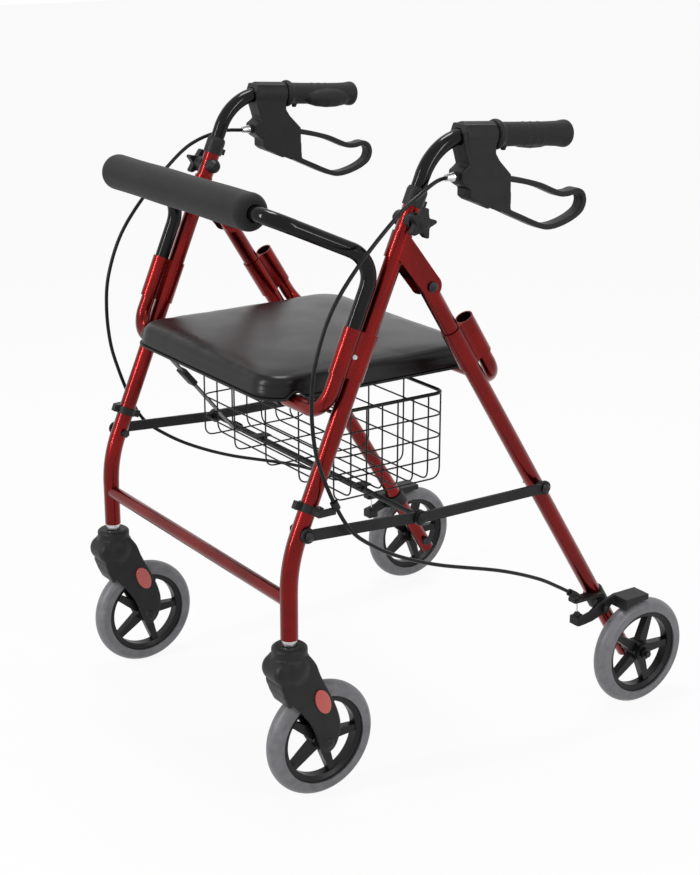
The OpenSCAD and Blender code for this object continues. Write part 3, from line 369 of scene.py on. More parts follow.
def tyre_grey():
    """Grey polyurethane tyre, cast: satin, with a faint bloom in 12 mm patches and fine rolling scuffs."""
    made, tree, shader, place = start("cast_polyurethane_grey", IOR=1.5, Coat_Weight=0.15,
                                      Coat_Roughness=0.3)
    bloom = add(tree, "ShaderNodeTexNoise", {"Vector": place, "Scale": 1 / (12 * MM), "Detail": 5.0})
    add(tree, "ShaderNodeValToRGB", {"Fac": bloom.outputs["Fac"]}, shader.inputs["Base Color"],
        [(0.3, "#616165"), (0.7, "#77777B")])
    add(tree, "ShaderNodeMapRange", {"Value": bloom.outputs["Fac"], "From Min": 0.3, "From Max": 0.7,
                                     "To Min": 0.38, "To Max": 0.55}, shader.inputs["Roughness"])
    scuff = add(tree, "ShaderNodeTexNoise", {"Vector": place, "Scale": 1 / (0.8 * MM), "Detail": 3.0})
    add(tree, "ShaderNodeBump", {"Height": scuff.outputs["Fac"], "Strength": 0.12, "Distance": 0.2 * MM},
        shader.inputs["Normal"])
    return made


def reflector_red():
    """Red acrylic reflector, moulded over small prisms: glossy, with a 2.2 mm honeycomb inside it."""
    made, tree, shader, place = start("moulded_acrylic_red", Roughness=0.12, IOR=1.49, Coat_Weight=1.0,
                                      Coat_Roughness=0.03)
    prism = add(tree, "ShaderNodeTexVoronoi", {"Vector": place, "Scale": 1 / (2.2 * MM), "Randomness": 0.25})
    add(tree, "ShaderNodeValToRGB", {"Fac": prism.outputs["Distance"]}, shader.inputs["Base Color"],
        [(0.1, "#D2402E"), (0.8, "#A52418")])
    add(tree, "ShaderNodeBump", {"Height": prism.outputs["Distance"],
                                 "Strength": 0.3, "Distance": 0.4 * MM}, shader.inputs["Normal"])
    return made


def plated_steel(name, dark, light, low, high):
    """Turned and zinc-plated steel: bright, with faint turning lines 0.7 mm apart and cloudy plating."""
    made, tree, shader, place = start(name, Metallic=1.0)
    cloud = add(tree, "ShaderNodeTexNoise", {"Vector": place, "Scale": 1 / (5 * MM), "Detail": 4.0})
    add(tree, "ShaderNodeValToRGB", {"Fac": cloud.outputs["Fac"]}, shader.inputs["Base Color"],
        [(0.3, dark), (0.7, light)])
    add(tree, "ShaderNodeMapRange", {"Value": cloud.outputs["Fac"], "From Min": 0.3, "From Max": 0.7,
                                     "To Min": low, "To Max": high}, shader.inputs["Roughness"])
    line = add(tree, "ShaderNodeTexNoise", {"Vector": place, "Scale": 1 / (0.7 * MM), "Detail": 2.0})
    add(tree, "ShaderNodeBump", {"Height": line.outputs["Fac"], "Strength": 0.08, "Distance": 0.15 * MM},
        shader.inputs["Normal"])
    return made


WAVE = 20  # radians of a wave texture over one unit of its scale


def cable_sheath():
    """Extruded black vinyl over a wound steel liner: glossy, with the liner's turns just showing.
    The real turns are 3 mm; one wave is drawn 2 pi times that, so that it shows."""
    made, tree, shader, place = start("extruded_vinyl_sheath_black", Roughness=0.3, IOR=1.53,
                                      Specular_IOR_Level=0.2)
    uv = add(tree, "ShaderNodeUVMap", uv_map="UVMap")
    turns = add(tree, "ShaderNodeTexWave", {"Vector": uv.outputs[0], "Scale": 1 / (3 * MM) / WAVE,
                                          "Distortion": 0.0})
    add(tree, "ShaderNodeValToRGB", {"Fac": turns.outputs["Fac"]}, shader.inputs["Base Color"],
        [(0.2, "#060606"), (0.8, "#0C0C0C")])
    add(tree, "ShaderNodeBump", {"Height": turns.outputs["Fac"], "Strength": 0.1, "Distance": 0.2 * MM},
        shader.inputs["Normal"])
    return made


def webbing_black():
    """Woven nylon webbing: ribs across it and a dull sheen.
    The real ribs are 1.6 mm; one wave is drawn 2 pi times that, so that it shows."""
    made, tree, shader, place = start("woven_nylon_black", Roughness=0.75, Sheen_Weight=0.3,
                                      Sheen_Roughness=0.5)
    uv = add(tree, "ShaderNodeUVMap", uv_map="UVMap")
    ribs = add(tree, "ShaderNodeTexWave", {"Vector": uv.outputs[0], "Scale": 1 / (1.6 * MM) / WAVE,
                                         "Distortion": 0.4})
    add(tree, "ShaderNodeValToRGB", {"Fac": ribs.outputs["Fac"]}, shader.inputs["Base Color"],
        [(0.2, "#0C0C0C"), (0.8, "#1E1E1E")])
    add(tree, "ShaderNodeBump", {"Height": ribs.outputs["Fac"], "Strength": 0.5, "Distance": 0.5 * MM},
        shader.inputs["Normal"])
    return made


RED = red_lacquer()
GLOSS = black_lacquer()
SATIN = satin_paint()
# housings, levers and forks are dull polypropylene and the hubs shinier nylon;
# the grips are the dullest, and the wire is dipped and smooth
PLASTIC = moulded_black("moulded_polypropylene_black", "#161617", "#212122", 0.4, 0.54, 0.8)
HUB = moulded_black("moulded_nylon_black", "#0E0E0E", "#181818", 0.3, 0.45, 1.0)
RUBBER = moulded_black("moulded_soft_rubber_black", "#151516", "#202020", 0.5, 0.66, 0.6)
WIRE = moulded_black("dipped_vinyl_wire_black", "#0A0A0A", "#131313", 0.28, 0.4, 1.4)
SKIN = seat_skin()
FOAM = cell_foam()
TYRE = tyre_grey()
REFLECTOR = reflector_red()
PLATED = plated_steel("zinc_plated_steel", "#B4B4B6", "#DADADC", 0.18, 0.34)
DARK_STEEL = plated_steel("black_oxide_steel", "#2A2A2C", "#454548", 0.3, 0.5)
SHEATH = cable_sheath()
WEBBING = webbing_black()

FINISH = {
    RED: "front_frame top_brackets front_sleeves front_seat_tube rear_legs rear_sleeves rear_seat_tube",
    GLOSS: "backrest_tube handle_tube_l handle_tube_r",
    SATIN: "front_links rear_links cross_rod brake_brackets brake_arm_l brake_arm_r",
    PLASTIC: "leg_collars cable_clips knob_seats seat_pan seat_clips basket_clips housing_l housing_r"
    " lever_l lever_r knob_l knob_r fork_l fork_r",
    HUB: "front_hub_l front_hub_r rear_hub_l rear_hub_r",
    RUBBER: "grip_l grip_r",
    WIRE: "basket",
    SKIN: "seat_pad",
    FOAM: "backrest_pad",
    TYRE: "front_tyre_l front_tyre_r rear_tyre_l rear_tyre_r",
    REFLECTOR: "reflectors_l reflectors_r",
    PLATED: "caster_stems cam_l cam_r",
    DARK_STEEL: "frame_bolts rear_axles",
    SHEATH: "cable_upper_l cable_upper_r cable_lower_l cable_lower_r",
    WEBBING: "stay_strap",
}
for material, names in FINISH.items():
    for name in names.split():
        nodes[name].data.materials.clear()
        nodes[name].data.materials.append(material)


# moulded pieces: edges eased by a fine remesh and a few turns of smoothing

def ease(piece, voxel, turns):
    """Live modifiers: voxels of the given size, then each point moves half way to its neighbours' mean."""
    skin = piece.modifiers.new("skin", "REMESH")
    skin.mode = "VOXEL"
    skin.voxel_size = voxel
    skin.use_smooth_shade = True
    calm = piece.modifiers.new("calm", "SMOOTH")
    calm.factor = 0.5
    calm.iterations = turns


for hand, _ in SIDES:
    ease(nodes[f"housing_{hand}"], 0.9 * MM, 8)
    ease(nodes[f"lever_{hand}"], 0.9 * MM, 8)
    ease(nodes[f"knob_{hand}"], 0.7 * MM, 5)
    ease(nodes[f"brake_arm_{hand}"], 0.7 * MM, 3)


# caster forks: arms swept back to the axle, a round neck with its cap, and a nose

HALF_W, STEM_Y, AXLE_Z, TRAIL = 235, -297.2, 76.2, 43
FORK_HALF, FORK_SLOT, WHEEL_ROOM = 21, 14.5, 82.2
FORK_ARM = [[18, 201], [27, 188], [33, 172], [41, 155], [50, 137], [58, 118], [62.5, 99], [61, 82], [55, 68],
            [46, 61.5], [37, 64], [31, 74], [26.5, 90], [19, 106], [8, 122], [-5, 138], [-17, 152],
            [-23, 166], [-20, 184], [-16, 201]]
FORK_NECK = [[6.4, 203], [21, 203], [24.5, 198], [26.3, 191], [26.5, 184], [25, 176], [21.5, 168], [16, 163],
             [6.4, 161]]
FORK_CAP = [[6.4, 202], [22.5, 202], [22.5, 211], [18.5, 214], [6.4, 214]]
FORK_NOSE = [[0, -22], [9.5, -22], [15.2, -19.7], [17.5, -14], [17.5, 14], [15.2, 19.7], [9.5, 22], [0, 22]]
BOLT_HEAD = [[0, -0.5], [7.5, -0.5], [7.3, 2], [5.6, 4], [3, 4.8], [0, 5]]


def fork(s):
    """Closed forms of one fork: two arms, the crown over the wheel, neck, cap, nose and axle heads."""
    arm = eased(np.array(FORK_ARM + FORK_ARM[:1]), 4)[:-1] + [STEM_Y, 0]
    back = np.linspace(36, -12, 9)
    arch = np.stack([back, AXLE_Z + np.sqrt(WHEEL_ROOM**2 - (back - TRAIL) ** 2)], -1)
    crown = np.concatenate([FORK_ARM[:3], arch, [[-19, 152]], FORK_ARM[-3:]])
    forms = [plate_form(arm, HALF_W + low, HALF_W + high, 2.5)
             for low, high in ((-FORK_HALF, -FORK_SLOT), (FORK_SLOT, FORK_HALF))]
    forms.append(plate_form(crown + [STEM_Y, 0], HALF_W - FORK_HALF, HALF_W + FORK_HALF, 4))
    stem = [HALF_W, STEM_Y, 0]
    forms += [turned(part, stem, (0, 0, 1), (1, 0, 0)) for part in (FORK_NECK, FORK_CAP)]
    forms.append(turned(FORK_NOSE, [HALF_W, STEM_Y - 13, 184], (1, 0, 0), (0, 1, 0)))
    for e in (-1, 1):
        axle = [HALF_W + e * FORK_HALF, STEM_Y + TRAIL, AXLE_Z]
        forms.append(turned(BOLT_HEAD, axle, (e, 0, 0), (0, 1, 0), 24))
    return [mirrored(form * MM, s) for form in forms]


def reflector(s):
    """Two ellipses 20 by 37 mm, leaning 24 degrees, one on each arm of a fork, with rounded rims."""
    turn = np.linspace(0, 2 * np.pi, 48, endpoint=False)
    lean = np.radians(24)
    flat = np.stack([10 * np.cos(turn), 18.5 * np.sin(turn)], -1)
    flat = flat @ np.array([[np.cos(lean), np.sin(lean)], [-np.sin(lean), np.cos(lean)]])
    flat += [STEM_Y + 34.5, 136]
    sides = ((FORK_HALF - 0.6, FORK_HALF + 2.2), (-FORK_HALF - 2.2, -FORK_HALF + 0.6))
    return [mirrored(plate_form(flat, HALF_W + low, HALF_W + high, 0.9) * MM, s) for low, high in sides]


# grips: flange, ribbed rubber, flared end, finger stop and a palm swell on the inner side

GRIP_START, GRIP_FALL = np.array([-86.36, 815.0]), np.radians(4)
GRIP_SIDE = [[0, 84], [16, 84], [18, 85.5], [18.8, 88.5], [18, 91.5], [16, 94], [15, 97], [14.8, 110],
             [14.8, 128], [14.8, 130], [15.5, 131], [14.8, 132], [14.8, 142], [15.5, 143], [14.8, 144],
             [14.8, 154], [15.5, 155], [14.8, 156], [15, 170], [15.6, 186], [17, 195], [17, 199],
             [15, 202], [10, 203], [0, 203]]
PALM_SIDE = [[0, 0], [4, 2.5], [9, 10], [12.4, 24], [13.8, 41], [13, 57], [10.4, 70], [6, 78], [0, 82]]


def grip(s):
    """Closed forms of one grip: its turned side, the palm swell beside it and the finger stop below."""
    along_grip = np.array([0, np.cos(GRIP_FALL), -np.sin(GRIP_FALL)])
    origin = np.array([HALF_W, *GRIP_START])
    below = np.array([0, -np.sin(GRIP_FALL), -np.cos(GRIP_FALL)])
    forms = [turned(GRIP_SIDE, origin, along_grip, (1, 0, 0)),
             turned(PALM_SIDE, origin + along_grip * 110 + below * 5 - [9, 0, 0], along_grip, (1, 0, 0))]
    stop = [[0, 10], [4.5, 10], [3.2, 19], [0, 19.6]]
    forms.append(turned(stop, origin + along_grip * 103, below, (1, 0, 0), 24))
    return [mirrored(form * MM, s) for form in forms]


BARREL = [[0, 0], [5.8, 0], [5.8, 4], [5.3, 5], [4.2, 14], [3.2, 14.5], [0, 14.5]]
for hand, s in SIDES:
    piece = joined(f"caster_fork_{hand}", fork(s), PLASTIC)
    ease(piece, 1.1 * MM, 8)
    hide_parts(f"fork_{hand}")
    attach(piece, f"caster_{hand}")
    piece = joined(f"oval_reflectors_{hand}", reflector(s), REFLECTOR)
    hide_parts(f"reflectors_{hand}")
    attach(piece, f"caster_{hand}")
    piece = joined(f"rubber_grip_{hand}", grip(s), RUBBER)
    ease(piece, 0.9 * MM, 4)
    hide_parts(f"grip_{hand}")
    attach(piece, f"handle_{hand}")
    barrel = turned(BARREL, np.array([HALF_W, -57.5, 763.2]), (0, -1, 0), (1, 0, 0), 32)
    piece = joined(f"cable_barrel_{hand}", [mirrored(barrel * MM, s)], PLATED)
    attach(piece, f"handle_{hand}")


# brake cables: the route of the solids, sheath from the lever to the stop and bare wire to the brake arm

CABLE_ROUTE = np.array([
    [-58, 763.5, 0], [-72, 763, 0], [-96, 762, 12], [-129, 751, 24], [-161, 731, 27], [-212, 683, 27],
    [-252, 632, 27], [-274, 577, 27], [-280, 530, 26], [-277, 481, 25], [-267, 441, 24], [-248, 393, 27],
    [-226, 356, 30], [-193, 329, 28], [-150, 304, 25], [-86, 277, 22], [14, 245, 19], [83, 216, 14],
    [124, 193, 10.5], [150, 176.8, 10]])
CABLE_SPLIT = 11
CABLE_STEPS = 8
CABLE_D = 5 * MM
BRAKE_WIRE = [[245, 150, 176.8], [245, 156.5, 171], [245, 160.3, 164], [245, 161.6, 155], [245, 161.6, 140]]
SCREW_HEAD = [[245.6, -209.5, 566], [247, -209.5, 566], [248, -209.5, 566]]


def cable(s):
    """Smooth curve through the route, mirrored for the right side, in metres."""
    y, z, out = CABLE_ROUTE.T
    return mirrored(eased(np.stack([HALF_W + out, y, z], -1), CABLE_STEPS) * MM, s)


for hand, s in SIDES:
    route = cable(s)
    split = CABLE_SPLIT * CABLE_STEPS
    upper, lower = route[: split + 1], route[split:]
    piece = rods(f"brake_cable_upper_{hand}", [(upper, CABLE_D / 2, (1, 0, 0))], SHEATH)
    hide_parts(f"cable_upper_{hand}")
    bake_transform(piece)
    piece = rods(f"brake_cable_lower_{hand}", [(lower, CABLE_D / 2, (1, 0, 0))], SHEATH)
    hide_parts(f"cable_lower_{hand}")
    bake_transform(piece)
    tail = mirrored(BRAKE_WIRE, s) * MM
    wire = rods(f"brake_wire_{hand}", [(tail, 0.9 * MM, (1, 0, 0))], PLATED)
    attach(wire, "rear_frame")
    head = mirrored(SCREW_HEAD, s) * MM
    screw = rods(f"sleeve_screw_{hand}", [(head, np.array([3.8, 3.6, 2.6]) * MM, (0, 0, 1))], PLATED)
    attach(screw, "frame")


# seat cushion and backrest foam

def rounded_plan(x, y, corner, count):
    """A rounded rectangle, half sizes x and y: equal steps along it, with its outward unit normals."""
    turn = np.linspace(0, np.pi / 2, count)
    arc = np.stack([np.cos(turn), np.sin(turn)], -1)
    signs = [(1, 1), (-1, 1), (-1, -1), (1, -1)]
    centres = np.array([[x - corner, y - corner]]) * signs
    normals = np.concatenate([arc @ np.array([[np.cos(a), np.sin(a)], [-np.sin(a), np.cos(a)]])
                              for a in np.arange(4) * np.pi / 2])
    points = np.repeat(centres, count, 0) + normals * corner
    loop = np.concatenate([points, points[:1]])
    far = run_of(loop)
    at = np.linspace(0, far[-1], 8 * count, endpoint=False)
    even = np.stack([np.interp(at, far, loop[:, k]) for k in (0, 1)], -1)
    facing = np.concatenate([normals, normals[:1]])
    face = np.stack([np.interp(at, far, facing[:, k]) for k in (0, 1)], -1)
    return even, face / np.linalg.norm(face, axis=1, keepdims=True)


SEAT_HALF, SEAT_MIDDLE = np.array([177, 167]) * MM, np.array([0, -121]) * MM
SEAT_LOW, SEAT_ROOF, SEAT_TOP = 502.5 * MM, 514.5 * MM, 535 * MM
SEAT_CROWN, SEAT_LIP, SEAT_CORNER = 4.5 * MM, 12 * MM, 40 * MM
FLANGE_T, SKIRT_T = 2.6 * MM, 3.2 * MM
SEAT_TUBES, SEAT_TUBE_Z, TUBE_ROOM = np.array([-246.9, 16.8]) * MM, 499 * MM, 12 * MM


def seat_edge(plan):
    """Height of the seat's lower edge: level, but it rises over each seat tube on a circle of its room."""
    off = np.abs(plan[:, 1, None] + SEAT_MIDDLE[1] - SEAT_TUBES).min(1)
    arch = SEAT_TUBE_Z + np.sqrt(np.maximum(TUBE_ROOM**2 - off**2, 0))
    return np.where(np.abs(plan[:, 0]) > 0.8 * SEAT_HALF[0], np.maximum(SEAT_LOW, arch), SEAT_LOW)


def ringed(plan, face, rows):
    """Rings of a plan: each row gives how far it is drawn in and its height, for all points or each."""
    rings = [np.column_stack([plan - face * draw, np.broadcast_to(rise, len(plan))]) for draw, rise in rows]
    return np.array(rings)


def cushion(inset=0.0):
    """Rings of a rounded plan: the roof of the hollow for the pan, the skirt, the rim's side and lip, then
    the top shrinking to the middle over a low crown of height (1 - across^2.6) times (1 - deep^2.6)."""
    half = SEAT_HALF - inset
    edge_top = SEAT_TOP - SEAT_CROWN - inset
    plan, face = rounded_plan(half[0], half[1], SEAT_CORNER, 30)
    base = seat_edge(plan) + FLANGE_T + 0.1 * MM
    turn = np.linspace(0, np.pi / 2, 9)
    rows = [(SKIRT_T, SEAT_ROOF), (SKIRT_T, base)]
    rows += [(0.8 * MM, base), (0.2 * MM, base + 0.3 * MM), (0, base + 0.9 * MM)]
    rows += [(0, base + 2 * MM + (edge_top - SEAT_LIP - base - 2 * MM) * k) for k in (0, 0.3, 0.6, 0.9)]
    rows += [(SEAT_LIP * (1 - np.cos(t)), edge_top - SEAT_LIP + SEAT_LIP * np.sin(t)) for t in turn]
    rim = ringed(plan, face, rows)
    share = np.linspace(0, 1, 28)[1:] ** 0.8
    flat = rim[-1, :, :2][None] * (1 - share)[:, None, None]
    across, deep = np.abs(flat[..., 0]) / half[0], np.abs(flat[..., 1]) / half[1]
    swell = SEAT_CROWN * (1 - across**2.6) * (1 - deep**2.6)
    over = np.concatenate([flat, (edge_top + swell)[..., None]], -1)
    under = np.concatenate([rim[0, :, :2][None] * np.linspace(0, 1, 8)[:-1, None, None],
                            np.full((7, len(plan), 1), SEAT_ROOF)], -1)
    return np.concatenate([under, rim, over]) + np.array([*SEAT_MIDDLE, 0])


def pan():
    """Rings of the same plan: the plate's underside, the inner wall, the flange below the cushion, the outer
    wall and the plate's top."""
    plan, face = rounded_plan(*SEAT_HALF, SEAT_CORNER, 30)
    low = seat_edge(plan)
    inner, outer, lip = SKIRT_T + 3 * MM, SKIRT_T + 0.1 * MM, -1.2 * MM
    plate = SEAT_ROOF - 3.3 * MM
    rows = [(inner, plate), (inner, low), (lip + 0.4 * MM, low), (lip, low + 0.4 * MM)]
    rows += [(lip, low + FLANGE_T - 0.4 * MM), (lip + 0.4 * MM, low + FLANGE_T)]
    rows += [(outer, low + FLANGE_T), (outer, SEAT_ROOF - 0.1 * MM)]
    rim = ringed(plan, face, rows)
    ends = [np.concatenate([np.zeros((1, len(plan), 2)), row[None, :, 2:]], -1) for row in (rim[0], rim[-1])]
    return np.concatenate([ends[0], rim, ends[1]]) + np.array([*SEAT_MIDDLE, 0])


CLOTH_FRAMES, CLOTH_PRESSURE, CLOTH_QUALITY = 20, 4, 6
CLOTH_VOXEL, CLOTH_CAP, CLOTH_NEAR = 5 * MM, 3 * MM, 4


def puffed(points):
    """How far stuffed cloth of this closed form swells: remeshed, blown up by cloth pressure with no weight,
    each move capped. Gives the rest places and their moves."""
    blown = new_piece("blown", points, quads(points.shape[0], points.shape[1], ring=True), SKIN)
    bpy.context.view_layer.objects.active = blown
    mesher = blown.modifiers.new("remesh", "REMESH")
    mesher.mode = "VOXEL"
    mesher.voxel_size = CLOTH_VOXEL
    bpy.ops.object.modifier_apply(modifier=mesher.name)
    count = len(blown.data.vertices)
    rest = np.empty(count * 3, np.float32)
    blown.data.vertices.foreach_get("co", rest)
    cloth = blown.modifiers.new("cloth", "CLOTH")
    cloth.settings.use_pressure = True
    cloth.settings.uniform_pressure_force = CLOTH_PRESSURE
    cloth.settings.effector_weights.gravity = 0
    cloth.settings.quality = CLOTH_QUALITY
    cloth.point_cache.frame_start = 1
    cloth.point_cache.frame_end = CLOTH_FRAMES
    for f in range(1, CLOTH_FRAMES + 1):
        scene.frame_set(f)
    seen = blown.evaluated_get(bpy.context.evaluated_depsgraph_get()).to_mesh()
    swollen = np.empty(count * 3, np.float32)
    seen.vertices.foreach_get("co", swollen)
    scene.frame_set(1)
    old = blown.data
    bpy.data.objects.remove(blown)
    bpy.data.meshes.remove(old)
    move = (swollen - rest).reshape(-1, 3)
    far = np.linalg.norm(move, axis=1, keepdims=True)
    return rest.reshape(-1, 3), move * np.minimum(1, CLOTH_CAP / np.maximum(far, 1e-9))


def swollen_cushion():
    """The cushion, drawn in a little, plus the cloth's swelling: the mean move of the four nearest cloth
    points, weighted by one over their distance and fading out below the lip."""
    points = cushion(1.5 * MM)
    rest, move = puffed(points)
    fade = np.clip((points[..., 2:] - points[..., 2].min() - 4 * MM) / (8 * MM), 0, 1)
    swell = []
    for ring in points:
        square = sum((ring[:, k, None] - rest[:, k]) ** 2 for k in range(3))
        near = np.argpartition(square, CLOTH_NEAR, axis=1)[:, :CLOTH_NEAR]
        weight = 1 / (np.sqrt(np.take_along_axis(square, near, 1)) + 1e-5)
        swell.append((weight[..., None] * move[near]).sum(1) / weight.sum(1, keepdims=True))
    return points + fade * np.array(swell)


points = swollen_cushion()
seat = new_piece("seat_cushion", points, quads(points.shape[0], points.shape[1], ring=True), SKIN, sharp=60)
finer = seat.modifiers.new("finer", "SUBSURF")
finer.levels = finer.render_levels = 1
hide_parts("seat_pad")
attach(seat, "seat")
piece = joined("moulded_seat_pan", [pan()], PLASTIC)
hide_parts("seat_pan")
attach(piece, "seat")

PAD_LOW, PAD_HIGH = (np.array(c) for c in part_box("backrest_pad"))


def foam_roll():
    """Turned form about the X axis: rounded ends, a side that breathes by half a millimetre, and a bore."""
    middle = (PAD_LOW + PAD_HIGH) / 2
    half = (PAD_HIGH - PAD_LOW)[0] / 2
    outer = (PAD_HIGH - PAD_LOW)[2] / 2
    bore = 9.55 * MM
    bend = 12 * MM
    turn = np.linspace(0, np.pi / 2, 9)
    end_x = half - bend + bend * np.sin(turn[::-1])
    end_r = outer - bend + bend * np.cos(turn[::-1])
    side_x = np.linspace(half - bend, -half + bend, 60)[1:-1]
    side_r = outer - 0.5 * MM * (1 + np.sin(side_x / (23 * MM))) * (1 - (side_x / half) ** 8) * 0.5
    rim_x = np.array([half - 3 * MM, half - 0.5 * MM])
    x = np.concatenate([rim_x, end_x, side_x, -end_x[::-1], -rim_x[::-1]])
    r = np.concatenate([[bore, bore + 1.5 * MM], end_r, side_r, end_r[::-1], [bore + 1.5 * MM, bore]])
    around = np.linspace(0, 2 * np.pi, 64, endpoint=False)
    ring = np.stack([np.zeros(64), np.cos(around), np.sin(around)], -1)
    return middle + x[:, None, None] * np.array([1, 0, 0]) + r[:, None, None] * ring


points = foam_roll()
faces = quads(points.shape[0], points.shape[1], ring=True, loop=True)
foam = new_piece("backrest_foam", points, faces, FOAM, sharp=70)
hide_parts("backrest_pad")
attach(foam, "backrest")


# webbing stay on the far side, from the front seat tube to the cross rod

STAY_X, STAY_W = -192 * MM, 20 * MM


def stay():
    """A flat profile carried from round the seat tube down to round the cross rod."""
    tube, bar = np.array([-246.904, 499]) * MM, np.array([-115, 346.5]) * MM
    turn = np.linspace(-0.3 * np.pi, 1.05 * np.pi, 20)
    hook = tube + 11.0 * MM * np.stack([np.cos(turn), np.sin(turn)], -1)[::-1]
    foot = np.linspace(np.pi * 1.2, np.pi * 2.3, 12)
    eye = bar + 5.0 * MM * np.stack([np.cos(foot), np.sin(foot)], -1)
    run = np.concatenate([hook, hook[-1] + (eye[0] - hook[-1]) * np.linspace(0, 1, 14)[1:-1, None], eye])
    return np.column_stack([np.full(len(run), STAY_X), run])


path = stay()
outline = soft_outline(2.2 * MM, STAY_W, 6, 16)
rings = carried(path, outline, (1, 0, 0))
uv = np.stack(np.broadcast_arrays(run_of(path)[:, None], np.linspace(0, 1, 16)[None]), -1)
strap = new_piece("stay_webbing", rings, quads(len(rings), 16, ring=True), WEBBING, sharp=70, uv=uv)
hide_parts("stay_strap")
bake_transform(strap)
at = path[23] + (path[25] - path[23]) * np.array([0, 0.04, 0.5, 0.96, 1])[:, None]
size = np.array([0.7, 1, 1, 1, 0.7])
rings = carried(at, soft_outline(9 * MM * size, 22 * MM * size, 5, 24), (1, 0, 0))
tips = [np.repeat(at[k][None, None], 24, 1) for k in (0, -1)]
rings = np.concatenate([tips[0], rings, tips[1]])
buckle = new_piece("stay_buckle", rings, quads(7, 24, ring=True), PLASTIC, sharp=50)
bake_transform(buckle)


# wire basket: thin upright and level wires with bent corners, under a thicker rim

BASKET_LOW, BASKET_HIGH = (np.array(c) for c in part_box("basket"))
BASKET_HALF = 168 * MM


def bent(corners, radius, count=6, loop=False):
    """A path through corner points, each corner rounded by a parabola that starts at the radius from it."""
    p = np.asarray(corners, float)
    t = np.linspace(0, 1, count)[:, None]
    rounded = []
    for k in range(0 if loop else 1, len(p) if loop else len(p) - 1):
        before, at, after = p[k - 1], p[k], p[(k + 1) % len(p)]
        a = at + (before - at) * radius / np.linalg.norm(before - at)
        b = at + (after - at) * radius / np.linalg.norm(after - at)
        rounded.append((1 - t) ** 2 * a + 2 * t * (1 - t) * at + t**2 * b)
    rounded = np.concatenate(rounded)
    return np.concatenate([rounded, rounded[:1]]) if loop else np.concatenate([p[:1], rounded, p[-1:]])


def basket_wires():
    """Long wires front to back, cross wires side to side, level rings and the rim, bent at the corners."""
    thin, thick = 1.1 * MM, 2.4 * MM
    (x0, y0, z0), (x1, y1, z1) = BASKET_LOW + thick, BASKET_HIGH - thick
    x0, x1 = -BASKET_HALF, BASKET_HALF
    z0 = z0 - thick + thin
    inner = thick - thin
    runs = []
    for x in np.linspace(x0 + 6 * MM, x1 - 6 * MM, 5):
        ends = [[x, y0 + inner, z1], [x, y0 + inner, z0], [x, y1 - inner, z0], [x, y1 - inner, z1]]
        runs.append((bent(ends, 14 * MM), thin, (1, 0, 0)))
    for y in np.linspace(y0, y1, 8)[1:-1]:
        low = z0 + 2 * thin
        ends = [[x0 + inner, y, z1], [x0 + inner, y, low], [x1 - inner, y, low], [x1 - inner, y, z1]]
        runs.append((bent(ends, 14 * MM), thin, (0, 1, 0)))
    ring = np.array([[x0, y0, 0], [x1, y0, 0], [x1, y1, 0], [x0, y1, 0]])
    for z in np.linspace(z0, z1, 5)[1:-1]:
        runs.append((bent(ring + [0, 0, z], 16 * MM, loop=True), thin, (0, 0, 1)))
    runs.append((bent(ring + [0, 0, z1], 16 * MM, loop=True), thick, (0, 0, 1)))
    return runs


basket = rods("basket_wires", basket_wires(), WIRE)
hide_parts("basket")
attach(basket, "basket")


# studio: pale floor, soft light from the left, the right and above

ROOM_LIGHT, FLOOR_GLOW, FLOOR_REACH, FLOOR_DROP = 0.4, 0.92, 12.0, 0.0004


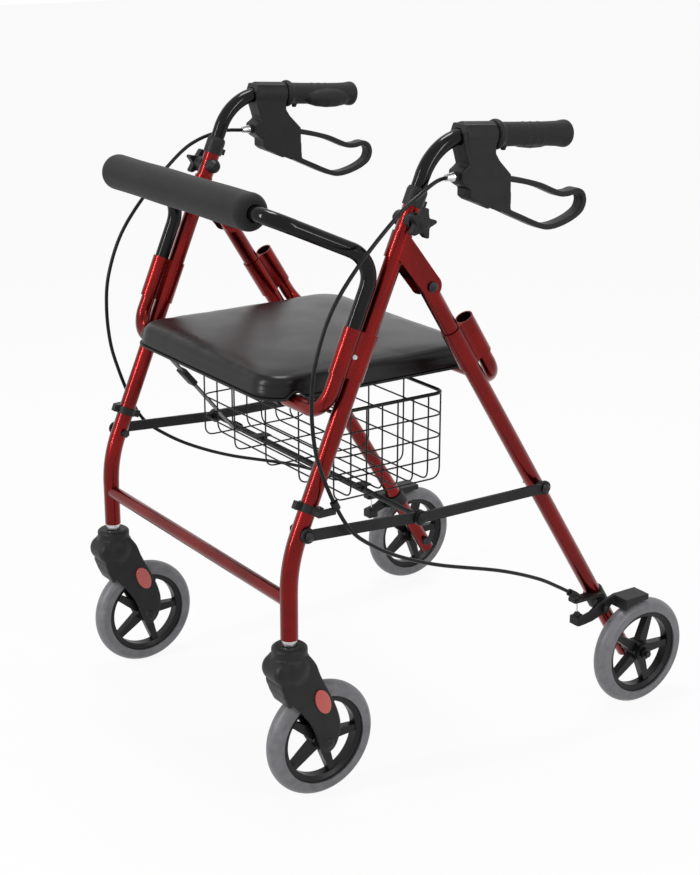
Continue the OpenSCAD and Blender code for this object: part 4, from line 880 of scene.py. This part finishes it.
def studio():
    """A pale floor and a white room; camera, mirror and glass rays see white, the rest soft grey light."""
    room = bpy.data.worlds.new("studio")
    paint = bpy.data.materials.new("pale_floor")
    scene.world = room
    direct = []
    for holder in (room, paint):
        holder.use_nodes = True
        tree = holder.node_tree
        tree.nodes.clear()
        ray = add(tree, "ShaderNodeLightPath").outputs
        seen = add(tree, "ShaderNodeMath", {0: ray["Is Camera Ray"], 1: ray["Is Glossy Ray"]},
                   operation="MAXIMUM")
        seen = add(tree, "ShaderNodeMath", {0: seen.outputs[0], 1: ray["Is Transmission Ray"]},
                   operation="MAXIMUM")
        direct.append(seen.outputs[0])
    tree = room.node_tree
    level = add(tree, "ShaderNodeMapRange", {"Value": direct[0], "To Min": ROOM_LIGHT, "To Max": 1.0})
    sky = add(tree, "ShaderNodeBackground", {"Color": (1, 1, 1, 1), "Strength": level.outputs[0]})
    add(tree, "ShaderNodeOutputWorld", {"Surface": sky.outputs[0]})
    tree = paint.node_tree
    share = add(tree, "ShaderNodeMath", {0: direct[1], 1: FLOOR_GLOW}, operation="MULTIPLY")
    dull = add(tree, "ShaderNodeBsdfDiffuse", {"Color": linear("#F4F4F4")})
    glow = add(tree, "ShaderNodeEmission", {"Color": (1, 1, 1, 1), "Strength": 1.0})
    mixed = add(tree, "ShaderNodeMixShader", {0: share.outputs[0], 1: dull.outputs[0], 2: glow.outputs[0]})
    add(tree, "ShaderNodeOutputMaterial", {"Surface": mixed.outputs[0]})
    corners = np.array([[-1, -1, 0], [1, -1, 0], [1, 1, 0], [-1, 1, 0]]) * FLOOR_REACH
    floor = new_piece("floor", corners - [0, 0, FLOOR_DROP], [[0, 1, 2, 3]], paint)


def lamp(name, place, aim, width, height, watts):
    """A soft box of the given width and height that looks from its place to its aim."""
    light = bpy.data.lights.new(name, "AREA")
    light.shape = "RECTANGLE"
    light.size = width
    light.size_y = height
    light.energy = watts
    back = np.array(place, float) - aim
    back /= np.linalg.norm(back)
    right = np.cross([0, 0, 1], back)
    stand(name, light, right / np.linalg.norm(right), back, place)


studio()
lamp("key", (-0.2, -2.7, 1.5), (0, 0, 0.45), 0.14, 1.7, 36)
lamp("fill", (2.7, 0.5, 1.5), (0, 0, 0.45), 0.25, 1.5, 20)
lamp("top", (-0.3, 0.1, 2.6), (0, 0, 0.4), 0.6, 0.6, 22)
